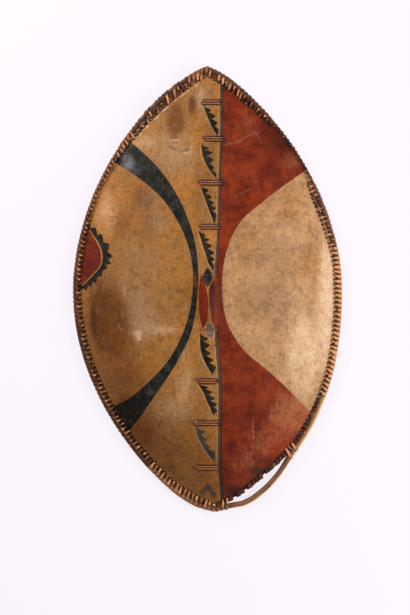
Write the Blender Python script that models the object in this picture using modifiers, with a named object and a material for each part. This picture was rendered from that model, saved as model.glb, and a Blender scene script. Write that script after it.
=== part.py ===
"""Pointed-oval hide shield: one domed sheet of thick hide on a bent wooden hoop and a carved stave.

The shield lies on its rim, painted face up. Metres, +Z up, +Y towards the upper tip.
The origin is on the resting surface, under the middle of the outline.
"""
import functools
import math

import bmesh
import bpy
import numpy
from mathutils import Matrix, Vector

# Overall outline, over the rim lacing
LENGTH = 1.0
WIDTH = 0.604

# The hide
HIDE_THICKNESS = 0.005
SPINE_RISE = 0.056
STAVE_LINE_X = 0.005
TIP_CUT = 0.995

# The hoop, a peeled stick bent round the edge, and the strip that laces it to the hide
HOOP_DIAMETER = 0.012
LACE_THICKNESS = 0.002
LACE_GROOVE = 0.0011
LACE_PITCH = 0.029
LACE_REACH = 0.0075
LOOSE_BULGE = 0.017

# The stave and its grip, which runs between the two middle thongs and bows back clear of the hide
STAVE_WIDTH = 0.018
STAVE_THICKNESS = 0.012
STAVE_END_GAP = 0.008
STAVE_END_NARROWER = 0.35
STAVE_END_THINNER = 0.45
STAVE_TAPERS_FROM = 0.75
GRIP_Y = -0.0295
GRIP_SPAN = 0.119
GRIP_BOW = 0.020
GRIP_STRAIGHT = 0.032
GRIP_SHOULDER = 0.010
WRAP_THICKNESS = 0.0025
WRAP_TURNS = 7
WRAP_STATIONS = 8

# The boss that makes room for the knuckles: a broad swelling with a narrow keel
BOSS_RISE = 0.006
BOSS_SPREAD = 0.040
KEEL_RISE = 0.026
KEEL_SPREAD = 0.013

# The thongs that tie the hide to the stave. Two end the grip, and the others stand at these shares of
# the way from the grip to the stave's end
UPPER_TIES = (0.880, 0.690, 0.466, 0.243)
LOWER_TIES = (0.302, 0.547, 0.812)
THONG_WIDTH = 0.009
THONG_THICKNESS = 0.0022
THONG_HALF_SPAN = 0.018
THONG_CLEARANCE = 0.0027

# Clearances between touching pieces
GAP = 0.0004
HOOP_GAP = 0.0005
LIP_GAP = 0.0009

# The outline's two halves are powers: share = (1 - |t| ** first) ** second
UPPER_CURVE = (1.9, 0.78)
LOWER_CURVE = (2.1, 0.70)
LOWER_TIP_LEAN = 0.018
LEAN_SETTLES = 0.85

# The loose stretch of the hoop, as shares of the half length below the middle, on the right
LOOSE_FROM = 0.775
LOOSE_TO = 0.985
LOOSE_STEPS = 9

# Beyond this share of the half length the hoop bends sharply and keeps every point
NEAR_TIP = 0.9

# Worn-away edge of the hide: (side, place along the half length, its spread, depth)
EDGE_LOSSES = ((-1, 0.905, 0.040, 0.005), (1, -0.880, 0.070, 0.003))

# Soft hollows beside the stave: (x, y, spread across, spread along, depth), all but the depth as
# shares of the half width and half length
HOLLOWS = (
    (-0.139, 0.800, 0.086, 0.096, 0.006),
    (0.166, 0.760, 0.099, 0.120, 0.003),
    (-0.199, -0.660, 0.132, 0.180, 0.003),
)

# How the dome falls from the stave line to the rim, and the low ridge that the stave presses up
SPINE_CURVE = 2.2
CROSS_CURVE = 2.6
RIDGE_RISE = 0.003
RIDGE_SPREAD = 0.014

# Spacing of the hide's cross lines, and their places on one side: shares of the strip over the stave,
# then shares of the rest
ROW_STEP = 0.042
BOSS_ROW_STEP = 0.0135
TIP_ROW = 0.030
STRIP_COLUMNS = (0.22, 0.45, 0.70, 1.0)
OUTER_COLUMNS = (0.20, 0.42, 0.64, 0.84, 1.0)

HALF_LENGTH = LENGTH / 2
HALF_WIDTH = WIDTH / 2
HOOP_RADIUS = HOOP_DIAMETER / 2
HOOP_CENTRE = LACE_THICKNESS + HOOP_GAP + HOOP_RADIUS
HIDE_INSET = HOOP_CENTRE + HOOP_RADIUS + HOOP_GAP
LIP_INSET = HIDE_INSET + LACE_REACH
EDGE_HEIGHT = HOOP_CENTRE + HIDE_THICKNESS + GAP
LOOSE_START = math.tau - math.acos(LOOSE_FROM)
LOOSE_END = math.tau - math.acos(LOOSE_TO)
GRIP_HALF_LENGTH = GRIP_SPAN / 2 - THONG_WIDTH / 2 - THONG_CLEARANCE
WRAP_LENGTH = 2 * (GRIP_HALF_LENGTH - GRIP_SHOULDER)
STAVE_END = HALF_LENGTH - LIP_INSET - STAVE_END_GAP
UPPER_GRIP_THONG = GRIP_Y + GRIP_SPAN / 2
LOWER_GRIP_THONG = GRIP_Y - GRIP_SPAN / 2
GRIP_TOP = GRIP_Y + GRIP_HALF_LENGTH
GRIP_BOTTOM = GRIP_Y - GRIP_HALF_LENGTH
THONG_Y = (
    *(UPPER_GRIP_THONG + tie * (STAVE_END - UPPER_GRIP_THONG) for tie in UPPER_TIES),
    UPPER_GRIP_THONG,
    LOWER_GRIP_THONG,
    *(LOWER_GRIP_THONG - tie * (STAVE_END + LOWER_GRIP_THONG) for tie in LOWER_TIES),
)

# The stave is one stick, parted at the grip's shoulders and half way along each arched limb: that keeps
# the collision of each length close to it and the hollow behind the hide open
UPPER_JOINT = (THONG_Y[1] + THONG_Y[2]) / 2
LOWER_JOINT = (THONG_Y[6] + THONG_Y[7]) / 2
STAVE_LENGTHS = (
    ("stave_lower_end", -STAVE_END, LOWER_JOINT),
    ("stave_lower", LOWER_JOINT, GRIP_BOTTOM),
    ("stave_grip", GRIP_BOTTOM, GRIP_TOP),
    ("stave_upper", GRIP_TOP, UPPER_JOINT),
    ("stave_upper_end", UPPER_JOINT, STAVE_END),
)


def collection(name):
    """A collection of that name, linked to the scene."""
    group = bpy.data.collections.new(name)
    bpy.context.scene.collection.children.link(group)
    return group


def material(name, colour, roughness):
    """A plain Principled material."""
    made = bpy.data.materials.new(name)
    made.use_nodes = True
    shader = made.node_tree.nodes["Principled BSDF"]
    shader.inputs["Base Color"].default_value = (*colour, 1.0)
    shader.inputs["Roughness"].default_value = roughness
    shader.inputs["Metallic"].default_value = 0.0
    return made


def add_object(name, mesh, finish, group):
    """A mesh object with its material, in its collection."""
    obj = bpy.data.objects.new(name, mesh)
    obj.data.materials.append(finish)
    group.objects.link(obj)
    return obj


def share(t):
    """The outline's half width at t, as a share of its greatest; t is -1 at the lower tip, 1 at the upper."""
    first, second = UPPER_CURVE if t >= 0 else LOWER_CURVE
    return max(0.0, 1.0 - min(1.0, abs(t)) ** first) ** second


def lean(t):
    """How far the outline's middle line swings aside towards the lower tip."""
    if t >= 0:
        return 0.0
    return LOWER_TIP_LEAN * (1 - math.cos(math.pi * min(1.0, -t / LEAN_SETTLES))) / 2


def outline_point(angle):
    """A point of the outline over the lacing. Angle 0 is the lower tip, and it runs up the left side."""
    turn = angle % math.tau
    side = -1 if turn < math.pi else 1
    t = -math.cos(turn)
    return Vector((lean(t) + side * HALF_WIDTH * share(t), HALF_LENGTH * t, 0.0))


def rim_point(angle, inset):
    """A point that lies inset inside the outline, measured square to it, drawn towards the middle."""
    turn = angle % math.tau
    step = 0.002
    along = (outline_point(turn + step) - outline_point(turn - step)).normalized()
    outward = Vector((-along.y, along.x, 0.0))
    side = -1 if turn < math.pi else 1
    t = -math.cos(turn)
    inward = Vector((-side * share(t), -t, 0.0)).normalized()
    return outline_point(turn) + inward * (inset / max(0.5, -inward.dot(outward)))


@functools.lru_cache(maxsize=None)
def hide_edge(side):
    """The hide's edge on one side, as heights along the shield and the x of the edge there."""
    low, high = (0.0, math.pi) if side < 0 else (math.pi, math.tau)
    points = [rim_point(low + (high - low) * i / 900, HIDE_INSET) for i in range(901)]
    points.sort(key=lambda p: p.y)
    return [p.y for p in points], [p.x for p in points]


def hide_span(y):
    """The hide's left and right edge at y."""
    return tuple(float(numpy.interp(y, *hide_edge(side))) for side in (-1, 1))


def even_angles(first, last, count):
    """Angles from first to last whose outline points are evenly spaced along the rim."""
    samples = 2400
    angles = [first + (last - first) * i / samples for i in range(samples + 1)]
    travelled = [0.0]
    for a, b in zip(angles, angles[1:]):
        travelled.append(travelled[-1] + (rim_point(b, 0) - rim_point(a, 0)).length)
    found, at = [], 0
    for i in range(count + 1):
        wanted = travelled[-1] * i / count
        while at < samples - 1 and travelled[at + 1] < wanted:
            at += 1
        step = travelled[at + 1] - travelled[at]
        part = 0.0 if step == 0 else (wanted - travelled[at]) / step
        found.append(angles[at] + (angles[at + 1] - angles[at]) * part)
    return found, travelled[-1]


def edge_loss(side, t):
    """How much of the hide's edge is worn away there."""
    return sum(
        depth * math.exp(-((t - place) / spread) ** 2)
        for at_side, place, spread, depth in EDGE_LOSSES
        if at_side == side
    )


def boss_window(y):
    """1 along the grip, falling to 0 at the thongs that end it."""
    return max(0.0, 1.0 - (abs(y - GRIP_Y) / GRIP_HALF_LENGTH) ** 3)


def front_height(x, y):
    """Height of the hide's painted face."""
    t = max(-1.0, min(1.0, y / (HALF_LENGTH - HIDE_INSET)))
    left, right = hide_span(y)
    half = max(1e-4, (right - left) / 2)
    u = min(1.0, abs(x - (left + right) / 2) / half)
    crown = SPINE_RISE * (1 - abs(t) ** SPINE_CURVE) * (1 - u ** CROSS_CURVE)
    across = x - STAVE_LINE_X
    fade = 1 - abs(t) ** 6
    ridge = RIDGE_RISE * fade * math.exp(-(across / RIDGE_SPREAD) ** 2)
    along = math.exp(-((y - GRIP_Y) / GRIP_SPAN) ** 2)
    boss = BOSS_RISE * along * math.exp(-(across / BOSS_SPREAD) ** 2)
    keel = KEEL_RISE * boss_window(y) * math.exp(-(across / KEEL_SPREAD) ** 2)
    hollow = sum(
        depth * math.exp(-((x / HALF_WIDTH - hx) / rx) ** 2 - ((y / HALF_LENGTH - hy) / ry) ** 2)
        for hx, hy, rx, ry, depth in HOLLOWS
    )
    return EDGE_HEIGHT + crown + ridge + boss + keel - hollow * fade


def back_height(x, y):
    """Height of the hide's inner face, straight below a point of its painted face."""
    step = 0.001
    slope_x = (front_height(x + step, y) - front_height(x - step, y)) / (2 * step)
    slope_y = (front_height(x, y + step) - front_height(x, y - step)) / (2 * step)
    return front_height(x, y) - HIDE_THICKNESS * math.sqrt(1 + slope_x ** 2 + slope_y ** 2)


def spine_height(y):
    """Height of the painted face over the stave, without the keel of the boss."""
    return front_height(STAVE_LINE_X, y) - KEEL_RISE * boss_window(y)


def spine_slope(y):
    """The stave line's angle to the ground at y."""
    step = 0.004
    return math.atan2(spine_height(y + step) - spine_height(y - step), 2 * step)


def offset_loop(path, distance):
    """A closed path moved sideways by distance along its corner normals."""
    moved = []
    for i, (x, z) in enumerate(path):
        before = Vector(path[i - 1])
        after = Vector(path[(i + 1) % len(path)])
        here = Vector((x, z))
        a, b = (here - before).normalized(), (after - here).normalized()
        normal = Vector((-(a.y + b.y), a.x + b.x)).normalized()
        stretch = 1 / max(0.6, normal.dot(Vector((-a.y, a.x))))
        moved.append(here + normal * distance * stretch)
    return moved


def loft(name, rings, closed):
    """A mesh through rings of points; closed joins the last ring to the first, otherwise the ends are capped."""
    bm = bmesh.new()
    made = [[bm.verts.new(p) for p in ring] for ring in rings]
    pairs = list(zip(made, made[1:]))
    if closed:
        pairs.append((made[-1], made[0]))
    count = len(rings[0])
    for a, b in pairs:
        for i in range(count):
            j = (i + 1) % count
            bm.faces.new((a[i], a[j], b[j], b[i]))
    if not closed:
        bm.faces.new(list(reversed(made[0])))
        bm.faces.new(made[-1])
    bmesh.ops.recalc_face_normals(bm, faces=bm.faces)
    mesh = bpy.data.meshes.new(name)
    bm.to_mesh(mesh)
    bm.free()
    return mesh


def hide_rows():
    """The hide's cross lines, closer together along the boss."""
    reach = (HALF_LENGTH - HIDE_INSET) * TIP_CUT

    def spaced(low, high, step):
        count = max(1, round((high - low) / step))
        return [low + (high - low) * i / count for i in range(count)]

    rows = [-reach, -reach + TIP_ROW / 3]
    rows += spaced(-reach + TIP_ROW, GRIP_BOTTOM, ROW_STEP)
    rows += spaced(GRIP_BOTTOM, GRIP_TOP, BOSS_ROW_STEP)
    rows += spaced(GRIP_TOP, reach - TIP_ROW, ROW_STEP)
    rows += [reach - TIP_ROW, reach - TIP_ROW / 3, reach]
    return rows


def hide_sheet():
    """The painted face as an open sheet, to which Solidify gives its thickness."""
    strip_half = 2 * KEEL_SPREAD
    one_side = [(place, 0.0) for place in STRIP_COLUMNS] + [(1.0, place) for place in OUTER_COLUMNS]
    columns = [(-1, *c) for c in reversed(one_side)] + [(0, 0.0, 0.0)] + [(1, *c) for c in one_side]
    rows = hide_rows()
    bm = bmesh.new()
    bmesh.ops.create_grid(bm, x_segments=len(columns) - 1, y_segments=len(rows) - 1, size=1.0)
    for vert in bm.verts:
        side, near, far = columns[round((vert.co.x + 1) / 2 * (len(columns) - 1))]
        y = rows[round((vert.co.y + 1) / 2 * (len(rows) - 1))]
        left, right = hide_span(y)
        centre = (left + right) / 2
        centre += (STAVE_LINE_X - centre) * min(1.0, (right - left) / (8 * STAVE_WIDTH))
        worn = edge_loss(side, y / HALF_LENGTH)
        reach = (right - centre if side > 0 else centre - left) - worn
        strip = min(strip_half, reach / 2)
        x = centre + side * (strip * near + (reach - strip) * far)
        vert.co = Vector((x, y, front_height(x, y)))
    mesh = bpy.data.meshes.new("hide")
    bm.to_mesh(mesh)
    bm.free()
    return mesh


def thong_frame(y):
    """Where a thong sits: on the painted face over the stave, tilted with the stave."""
    place = Vector((STAVE_LINE_X, y, spine_height(y)))
    return Matrix.Translation(place) @ Matrix.Rotation(spine_slope(y), 4, "X")


def slot_cutter(name, y, side, group):
    """A block that cuts one thong hole through the hide."""
    bm = bmesh.new()
    bmesh.ops.create_cube(bm, size=1.0)
    size = (THONG_THICKNESS + 2 * GAP, THONG_WIDTH + 2 * GAP, 6 * HIDE_THICKNESS)
    bmesh.ops.scale(bm, vec=size, verts=bm.verts)
    bmesh.ops.translate(bm, vec=(side * THONG_HALF_SPAN, 0, 0), verts=bm.verts)
    mesh = bpy.data.meshes.new(name)
    bm.to_mesh(mesh)
    bm.free()
    obj = bpy.data.objects.new(name, mesh)
    obj.matrix_world = thong_frame(y)
    obj.hide_render = True
    obj.display_type = "WIRE"
    group.objects.link(obj)
    return obj


def make_hide(finish, group, cutters):
    """The domed sheet with its boss, and the holes that the thongs pass through."""
    obj = add_object("hide", hide_sheet(), finish, group)
    wall = obj.modifiers.new("wall", "SOLIDIFY")
    wall.thickness = HIDE_THICKNESS
    wall.offset = -1.0
    for number, y in enumerate(THONG_Y, 1):
        for side in (-1, 1):
            name = f"slot_{number}_{'left' if side < 0 else 'right'}"
            cut = obj.modifiers.new(name, "BOOLEAN")
            cut.operation = "DIFFERENCE"
            cut.solver = "EXACT"
            cut.object = slot_cutter(name, y, side, cutters)
    return obj


def loose_part(angle):
    """0 to 1 along the loose stretch of the hoop, or None where the hoop is laced."""
    turn = angle % math.tau
    return (turn - LOOSE_START) / (LOOSE_END - LOOSE_START) if LOOSE_START < turn < LOOSE_END else None


def hoop_point(angle):
    """The hoop's centre line, which springs clear of the hide along its loose stretch."""
    part = loose_part(angle)
    bulge = 0.0 if part is None else LOOSE_BULGE * math.sin(math.pi * part ** 1.2) ** 1.5
    point = rim_point(angle, HOOP_CENTRE - bulge)
    point.z = HOOP_CENTRE
    return point


def make_hoop(finish, group, angles):
    """A peeled stick bent into one closed hoop, with points at the lacing's stations, fewer away from the tips."""
    laced = angles[:-1]
    chosen = [a for i, a in enumerate(laced) if i % 2 == 0 or abs(math.cos(a)) > NEAR_TIP]
    step = (LOOSE_END - LOOSE_START) / LOOSE_STEPS
    chosen += [LOOSE_START + step * i for i in range(LOOSE_STEPS)]
    curve = bpy.data.curves.new("hoop", "CURVE")
    curve.dimensions = "3D"
    curve.bevel_depth = HOOP_RADIUS
    curve.bevel_resolution = 1
    spline = curve.splines.new("POLY")
    spline.points.add(len(chosen) - 1)
    for point, angle in zip(spline.points, chosen):
        point.co = (*hoop_point(angle), 1.0)
    spline.use_cyclic_u = True
    obj = bpy.data.objects.new("rim_hoop", curve)
    obj.data.materials.append(finish)
    group.objects.link(obj)
    return obj


def lace_section(angle, groove):
    """One cross-section of the lacing: a closed strip round the hoop, open only where the hide enters."""
    lip = rim_point(angle, LIP_INSET)
    front_in = front_height(lip.x, lip.y) + LIP_GAP
    back_in = back_height(lip.x, lip.y) - LIP_GAP
    wrap = LACE_THICKNESS - groove
    c, r = HOOP_CENTRE, HOOP_RADIUS + HOOP_GAP
    flat = r * math.tan(math.pi / 8)
    corner = (r + wrap) * 0.82
    inner = [
        (LIP_INSET, front_in),
        (c - flat, c + r),
        (c - r, c + flat),
        (c - r, c - flat),
        (c - flat, c - r),
        (c + flat, c - r),
        (LIP_INSET, back_in),
    ]
    outer = [
        (LIP_INSET, back_in - wrap),
        (c + flat, c - r - LACE_THICKNESS),
        (c - corner * 0.72, c - r - LACE_THICKNESS),
        (c - r - wrap, c),
        (c - corner, c + corner),
        (c, c + r + wrap),
        (LIP_INSET, front_in + wrap),
    ]
    points = []
    for inset, height in inner + outer:
        point = rim_point(angle, inset)
        point.z = height
        points.append(point)
    return points


def laced_run():
    """Evenly spaced angles round the laced part of the rim, two for each visible stitch."""
    first = LOOSE_END - math.tau
    _, length = even_angles(first, LOOSE_START, 1)
    stitches = round(length / LACE_PITCH)
    angles, _ = even_angles(first, LOOSE_START, 2 * stitches)
    return angles


def make_lacing(finish, group, angles):
    """The strip that whips the hoop to the hide's edge: a ribbed sleeve, one rib for each turn."""
    rings = [lace_section(a, LACE_GROOVE if i % 2 == 0 else 0.0) for i, a in enumerate(angles)]
    return add_object("rim_lacing", loft("rim_lacing", rings, closed=False), finish, group)


def stave_frame(y):
    """The stave's frame at y: tilted with the spine, its front face at height 0, lower along the grip."""
    ramp = GRIP_HALF_LENGTH - GRIP_STRAIGHT / 2
    part = min(1.0, max(0.0, (GRIP_HALF_LENGTH - abs(y - GRIP_Y)) / ramp))
    drop = HIDE_THICKNESS + GAP + GRIP_BOW * (3 - 2 * part) * part ** 2
    return thong_frame(y) @ Matrix.Translation((0, 0, -drop))


def stave_outline(y):
    """The stave's cross-section in its own frame: crowned in front, flat behind, thinner towards its ends."""
    end = max(0.0, abs(y) / STAVE_END - STAVE_TAPERS_FROM) / (1 - STAVE_TAPERS_FROM)
    half = STAVE_WIDTH / 2 * (1 - STAVE_END_NARROWER * end)
    deep = STAVE_THICKNESS * (1 - STAVE_END_THINNER * end)
    bevel = half * 0.4
    crown = RIDGE_RISE * 0.5
    return [
        (-half + bevel, -crown * 0.3),
        (half - bevel, -crown * 0.3),
        (half, -crown - bevel * 0.6),
        (half, -deep + bevel * 0.5),
        (half - bevel * 0.5, -deep),
        (-half + bevel * 0.5, -deep),
        (-half, -deep + bevel * 0.5),
        (-half, -crown - bevel * 0.6),
    ]


def stave_ring(y, grow=0.0):
    """The stave's cross-section at y in place, grown outwards by grow."""
    frame = stave_frame(y)
    return [frame @ Vector((p.x, 0, p.y)) for p in offset_loop(stave_outline(y), grow)]


def stave_rows(low, high):
    """Places along one length of the stave: its ends, both edges of each thong, and the bowed grip."""
    half = THONG_WIDTH / 2 + THONG_CLEARANCE / 3
    beside = [y + side * half for y in THONG_Y for side in (-1, 1)]
    between = [y for y in beside + wrap_stations() if low < y < high]
    return sorted([low + GAP / 2, high - GAP / 2] + between)


def wrap_stations():
    """Places along the grip that the stave and the bore of its wrap share."""
    return [GRIP_Y + WRAP_LENGTH * (i / WRAP_STATIONS - 0.5) for i in range(WRAP_STATIONS + 1)]


def make_stave(finish, group):
    """The long stick behind the hide, bowed back at the grip to let the fingers round it."""
    for name, low, high in STAVE_LENGTHS:
        rings = [stave_ring(y) for y in stave_rows(low, high)]
        add_object(name, loft(name, rings, closed=False), finish, group)


def make_wrap(finish, group):
    """The hide strip wound round the grip: a ribbed sleeve with a small gap to the stave."""
    start = GRIP_Y - WRAP_LENGTH / 2
    rings = []
    for i in range(2 * WRAP_TURNS + 1):
        y = start + WRAP_LENGTH * i / (2 * WRAP_TURNS)
        dip = WRAP_THICKNESS * 0.35 if i % 2 == 0 else 0.0
        rings.append(stave_ring(y, GAP + WRAP_THICKNESS - dip))
    for y in reversed(wrap_stations()):
        rings.append(stave_ring(y, GAP))
    return add_object("grip_wrap", loft("grip_wrap", rings, closed=True), finish, group)


def thong_path(y):
    """The thong's closed middle line, in its own frame: over the ridge, through the hide, round the stave."""
    half = THONG_THICKNESS / 2
    frame = thong_frame(y)
    base = frame.translation.z

    def rise(x):
        return front_height(STAVE_LINE_X + x, y) - base - (front_height(STAVE_LINE_X, y) - spine_height(y))

    span = THONG_HALF_SPAN
    over = [(x, max(rise(x), rise(x * 0.5) - RIDGE_RISE * 0.2) + 2 * GAP + half)
            for x in (-span, -span * 0.72, -span * 0.36, 0.0, span * 0.36, span * 0.72, span)]
    under = rise(span) - HIDE_THICKNESS - THONG_THICKNESS
    stave_back = -(HIDE_THICKNESS + GAP + STAVE_THICKNESS)
    side = STAVE_WIDTH / 2 + GAP + half
    behind = [
        (span, under),
        (side, stave_back + THONG_THICKNESS),
        (side - half, stave_back - GAP - half),
        (-side + half, stave_back - GAP - half),
        (-side, stave_back + THONG_THICKNESS),
        (-span, under),
    ]
    return over + behind


def make_thong(number, y, finish, group):
    """One tie: a flat loop standing across the stave, as a 2D outline with a hole, extruded to its width."""
    curve = bpy.data.curves.new(f"thong_{number}", "CURVE")
    curve.dimensions = "2D"
    curve.fill_mode = "BOTH"
    curve.extrude = THONG_WIDTH / 2
    path = thong_path(y)
    for distance in (THONG_THICKNESS / 2, -THONG_THICKNESS / 2):
        spline = curve.splines.new("POLY")
        spline.points.add(len(path) - 1)
        for point, place in zip(spline.points, offset_loop(path, distance)):
            point.co = (place.x, place.y, 0.0, 1.0)
        spline.use_cyclic_u = True
    obj = bpy.data.objects.new(f"thong_{number}", curve)
    obj.data.materials.append(finish)
    obj.matrix_world = thong_frame(y) @ Matrix.Rotation(math.pi / 2, 4, "X")
    group.objects.link(obj)
    return obj


def main():
    for obj in list(bpy.data.objects):
        bpy.data.objects.remove(obj)
    shield = collection("hide_shield")
    cutters = collection("cutters")
    hide_finish = material("painted hide", (0.52, 0.32, 0.15), 0.6)
    wood_finish = material("peeled wood", (0.30, 0.15, 0.06), 0.6)
    strip_finish = material("rawhide strip", (0.34, 0.19, 0.10), 0.65)
    thong_finish = material("thong", (0.42, 0.20, 0.10), 0.6)

    angles = laced_run()
    make_hide(hide_finish, shield, cutters)
    make_hoop(wood_finish, shield, angles)
    make_lacing(strip_finish, shield, angles)
    make_stave(wood_finish, shield)
    make_wrap(strip_finish, shield)
    for number, y in enumerate(THONG_Y, 1):
        make_thong(number, y, thong_finish, shield)
    bpy.context.view_layer.update()


main()
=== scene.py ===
import math

import bmesh
import bpy
import numpy as np
from mathutils import Matrix, Vector, noise


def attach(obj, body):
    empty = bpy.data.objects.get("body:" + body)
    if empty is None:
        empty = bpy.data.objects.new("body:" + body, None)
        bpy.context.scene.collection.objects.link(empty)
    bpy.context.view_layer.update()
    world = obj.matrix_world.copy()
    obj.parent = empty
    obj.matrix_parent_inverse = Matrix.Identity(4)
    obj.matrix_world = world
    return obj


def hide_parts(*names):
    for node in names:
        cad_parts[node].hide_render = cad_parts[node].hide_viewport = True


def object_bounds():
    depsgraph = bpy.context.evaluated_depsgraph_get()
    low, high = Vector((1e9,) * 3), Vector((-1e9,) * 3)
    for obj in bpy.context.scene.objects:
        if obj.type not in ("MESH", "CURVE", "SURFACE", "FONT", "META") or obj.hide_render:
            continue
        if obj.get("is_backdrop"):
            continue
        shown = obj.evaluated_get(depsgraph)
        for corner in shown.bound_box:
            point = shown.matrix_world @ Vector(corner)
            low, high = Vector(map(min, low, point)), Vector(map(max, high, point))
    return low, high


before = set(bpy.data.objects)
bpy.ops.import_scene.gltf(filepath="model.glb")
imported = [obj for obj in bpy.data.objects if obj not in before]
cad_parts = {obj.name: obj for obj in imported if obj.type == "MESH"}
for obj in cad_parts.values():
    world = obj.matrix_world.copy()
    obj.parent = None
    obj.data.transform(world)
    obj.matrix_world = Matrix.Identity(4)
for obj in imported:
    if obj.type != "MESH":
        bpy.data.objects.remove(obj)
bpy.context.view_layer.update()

# The hide: one sheet of thick rawhide, soaked and beaten over a mould into a pointed dome with a pinched boss
# over the grip, then dried hard. The tan skin is painted in red ochre and soot black; its cut edge butts
# against the hoop and is pierced all round for the lacing.
LENGTH = 1.0
WIDTH = 0.604
HALF_LENGTH = LENGTH / 2
HALF_WIDTH = WIDTH / 2
UPPER_CURVE = (1.9, 0.78)
LOWER_CURVE = (2.1, 0.70)
LOWER_TIP_LEAN = 0.018
LEAN_SETTLES = 0.85
HIDE_THICKNESS = 0.005
HIDE_INSET = 0.015
EDGE_HEIGHT = 0.0139
SPINE_RISE = 0.056
SPINE_CURVE = 2.2
CROSS_CURVE = 2.6
RIDGE_RISE = 0.003
RIDGE_SPREAD = 0.014
STAVE_LINE_X = 0.005
GRIP_Y = -0.0295
GRIP_SPAN = 0.119
GRIP_HALF_LENGTH = 0.0523
BOSS_RISE = 0.006
BOSS_SPREAD = 0.040
KEEL_RISE = 0.026
KEEL_SPREAD = 0.013
HOLLOWS = (
    (-0.139, 0.800, 0.086, 0.096, 0.006),
    (0.166, 0.760, 0.099, 0.120, 0.003),
    (-0.199, -0.660, 0.132, 0.180, 0.003),
)
TURN = math.tau


def share(t):
    """The outline's half width as a share of its greatest; t is -1 at the lower tip and 1 at the upper."""
    size = np.minimum(np.abs(t), 1.0)
    upper = (1 - size ** UPPER_CURVE[0]) ** UPPER_CURVE[1]
    lower = (1 - size ** LOWER_CURVE[0]) ** LOWER_CURVE[1]
    return np.where(np.asarray(t) >= 0, upper, lower)


def outline(angle):
    """The outline over the lacing, as x and y. Angle 0 is the lower tip, and it runs up the left side."""
    side = np.where(angle % TURN < math.pi, -1, 1)
    t = -np.cos(angle)
    lean = LOWER_TIP_LEAN * (1 - np.cos(math.pi * np.clip(-t / LEAN_SETTLES, 0, 1))) / 2
    return np.array([lean + side * HALF_WIDTH * share(t), HALF_LENGTH * t])


def way_along(angle):
    """The way in which the outline runs, as x and y one long."""
    way = outline(angle + 0.002) - outline(angle - 0.002)
    return way / np.hypot(*way)


def rim(angle, inset):
    """The line that lies inset inside the outline, as x and y."""
    angle = np.asarray(angle, dtype=float)
    along = way_along(angle)
    side = np.where(angle % TURN < math.pi, -1, 1)
    t = -np.cos(angle)
    inward = np.array([-side * share(t), -t])
    inward = inward / np.hypot(*inward)
    facing = inward[0] * along[1] - inward[1] * along[0]
    return outline(angle) + inward * inset / np.maximum(0.5, facing)


EDGE_ANGLES = {-1: np.linspace(0, math.pi, 901), 1: np.linspace(TURN, math.pi, 901)}
EDGES = {side: rim(angles, HIDE_INSET) for side, angles in EDGE_ANGLES.items()}
for edge in EDGES.values():
    edge[1] = np.maximum.accumulate(edge[1])


def hide_span(y):
    """The hide's left and right edge at y."""
    return [np.interp(y, EDGES[side][1], EDGES[side][0]) for side in (-1, 1)]


def boss_window(y):
    """1 along the grip, falling to 0 at the ties that end it."""
    return np.maximum(0, 1 - (np.abs(y - GRIP_Y) / GRIP_HALF_LENGTH) ** 3)


def bell(value, centre, spread):
    """1 at the centre, falling smoothly to 0 either side."""
    return np.exp(-((value - centre) / spread) ** 2)


def front_height(x, y):
    """Height of the painted face."""
    t = np.clip(y / (HALF_LENGTH - HIDE_INSET), -1, 1)
    left, right = hide_span(y)
    half = np.maximum((right - left) / 2, 1e-4)
    u = np.minimum(1, np.abs(x - (left + right) / 2) / half)
    crown = SPINE_RISE * (1 - np.abs(t) ** SPINE_CURVE) * (1 - u ** CROSS_CURVE)
    fade = 1 - np.abs(t) ** 6
    ridge = RIDGE_RISE * fade * bell(x, STAVE_LINE_X, RIDGE_SPREAD)
    boss = BOSS_RISE * bell(y, GRIP_Y, GRIP_SPAN) * bell(x, STAVE_LINE_X, BOSS_SPREAD)
    keel = KEEL_RISE * boss_window(y) * bell(x, STAVE_LINE_X, KEEL_SPREAD)
    hollow = sum(
        depth * bell(x / HALF_WIDTH, hx, rx) * bell(y / HALF_LENGTH, hy, ry)
        for hx, hy, rx, ry, depth in HOLLOWS
    )
    return EDGE_HEIGHT + crown + ridge + boss + keel - hollow * fade


def line_through(*places):
    """A smooth line through (x, y) places in millimetres, as a function of y in metres."""
    x, y = np.array(sorted(places, key=lambda place: place[1])).T / 1000
    slope = np.gradient(x, y)

    def at(where):
        inside = np.clip(where, y[0], y[-1])
        i = np.clip(np.searchsorted(y, inside) - 1, 0, len(y) - 2)
        step = y[i + 1] - y[i]
        part = (inside - y[i]) / step
        rise = x[i + 1] - x[i]
        bend = (1 - part) * (slope[i] * step - rise) - part * (slope[i + 1] * step - rise)
        beyond = (where - inside) * np.where(where < y[0], slope[0], slope[-1])
        return x[i] + part * rise + part * (1 - part) * bend + beyond

    return at


def right_of(line, x, y):
    """Distance to the right of a line, negative on its left."""
    lean = (line(y + 0.002) - line(y - 0.002)) / 0.004
    return (x - line(y)) / np.hypot(1, lean)


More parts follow.
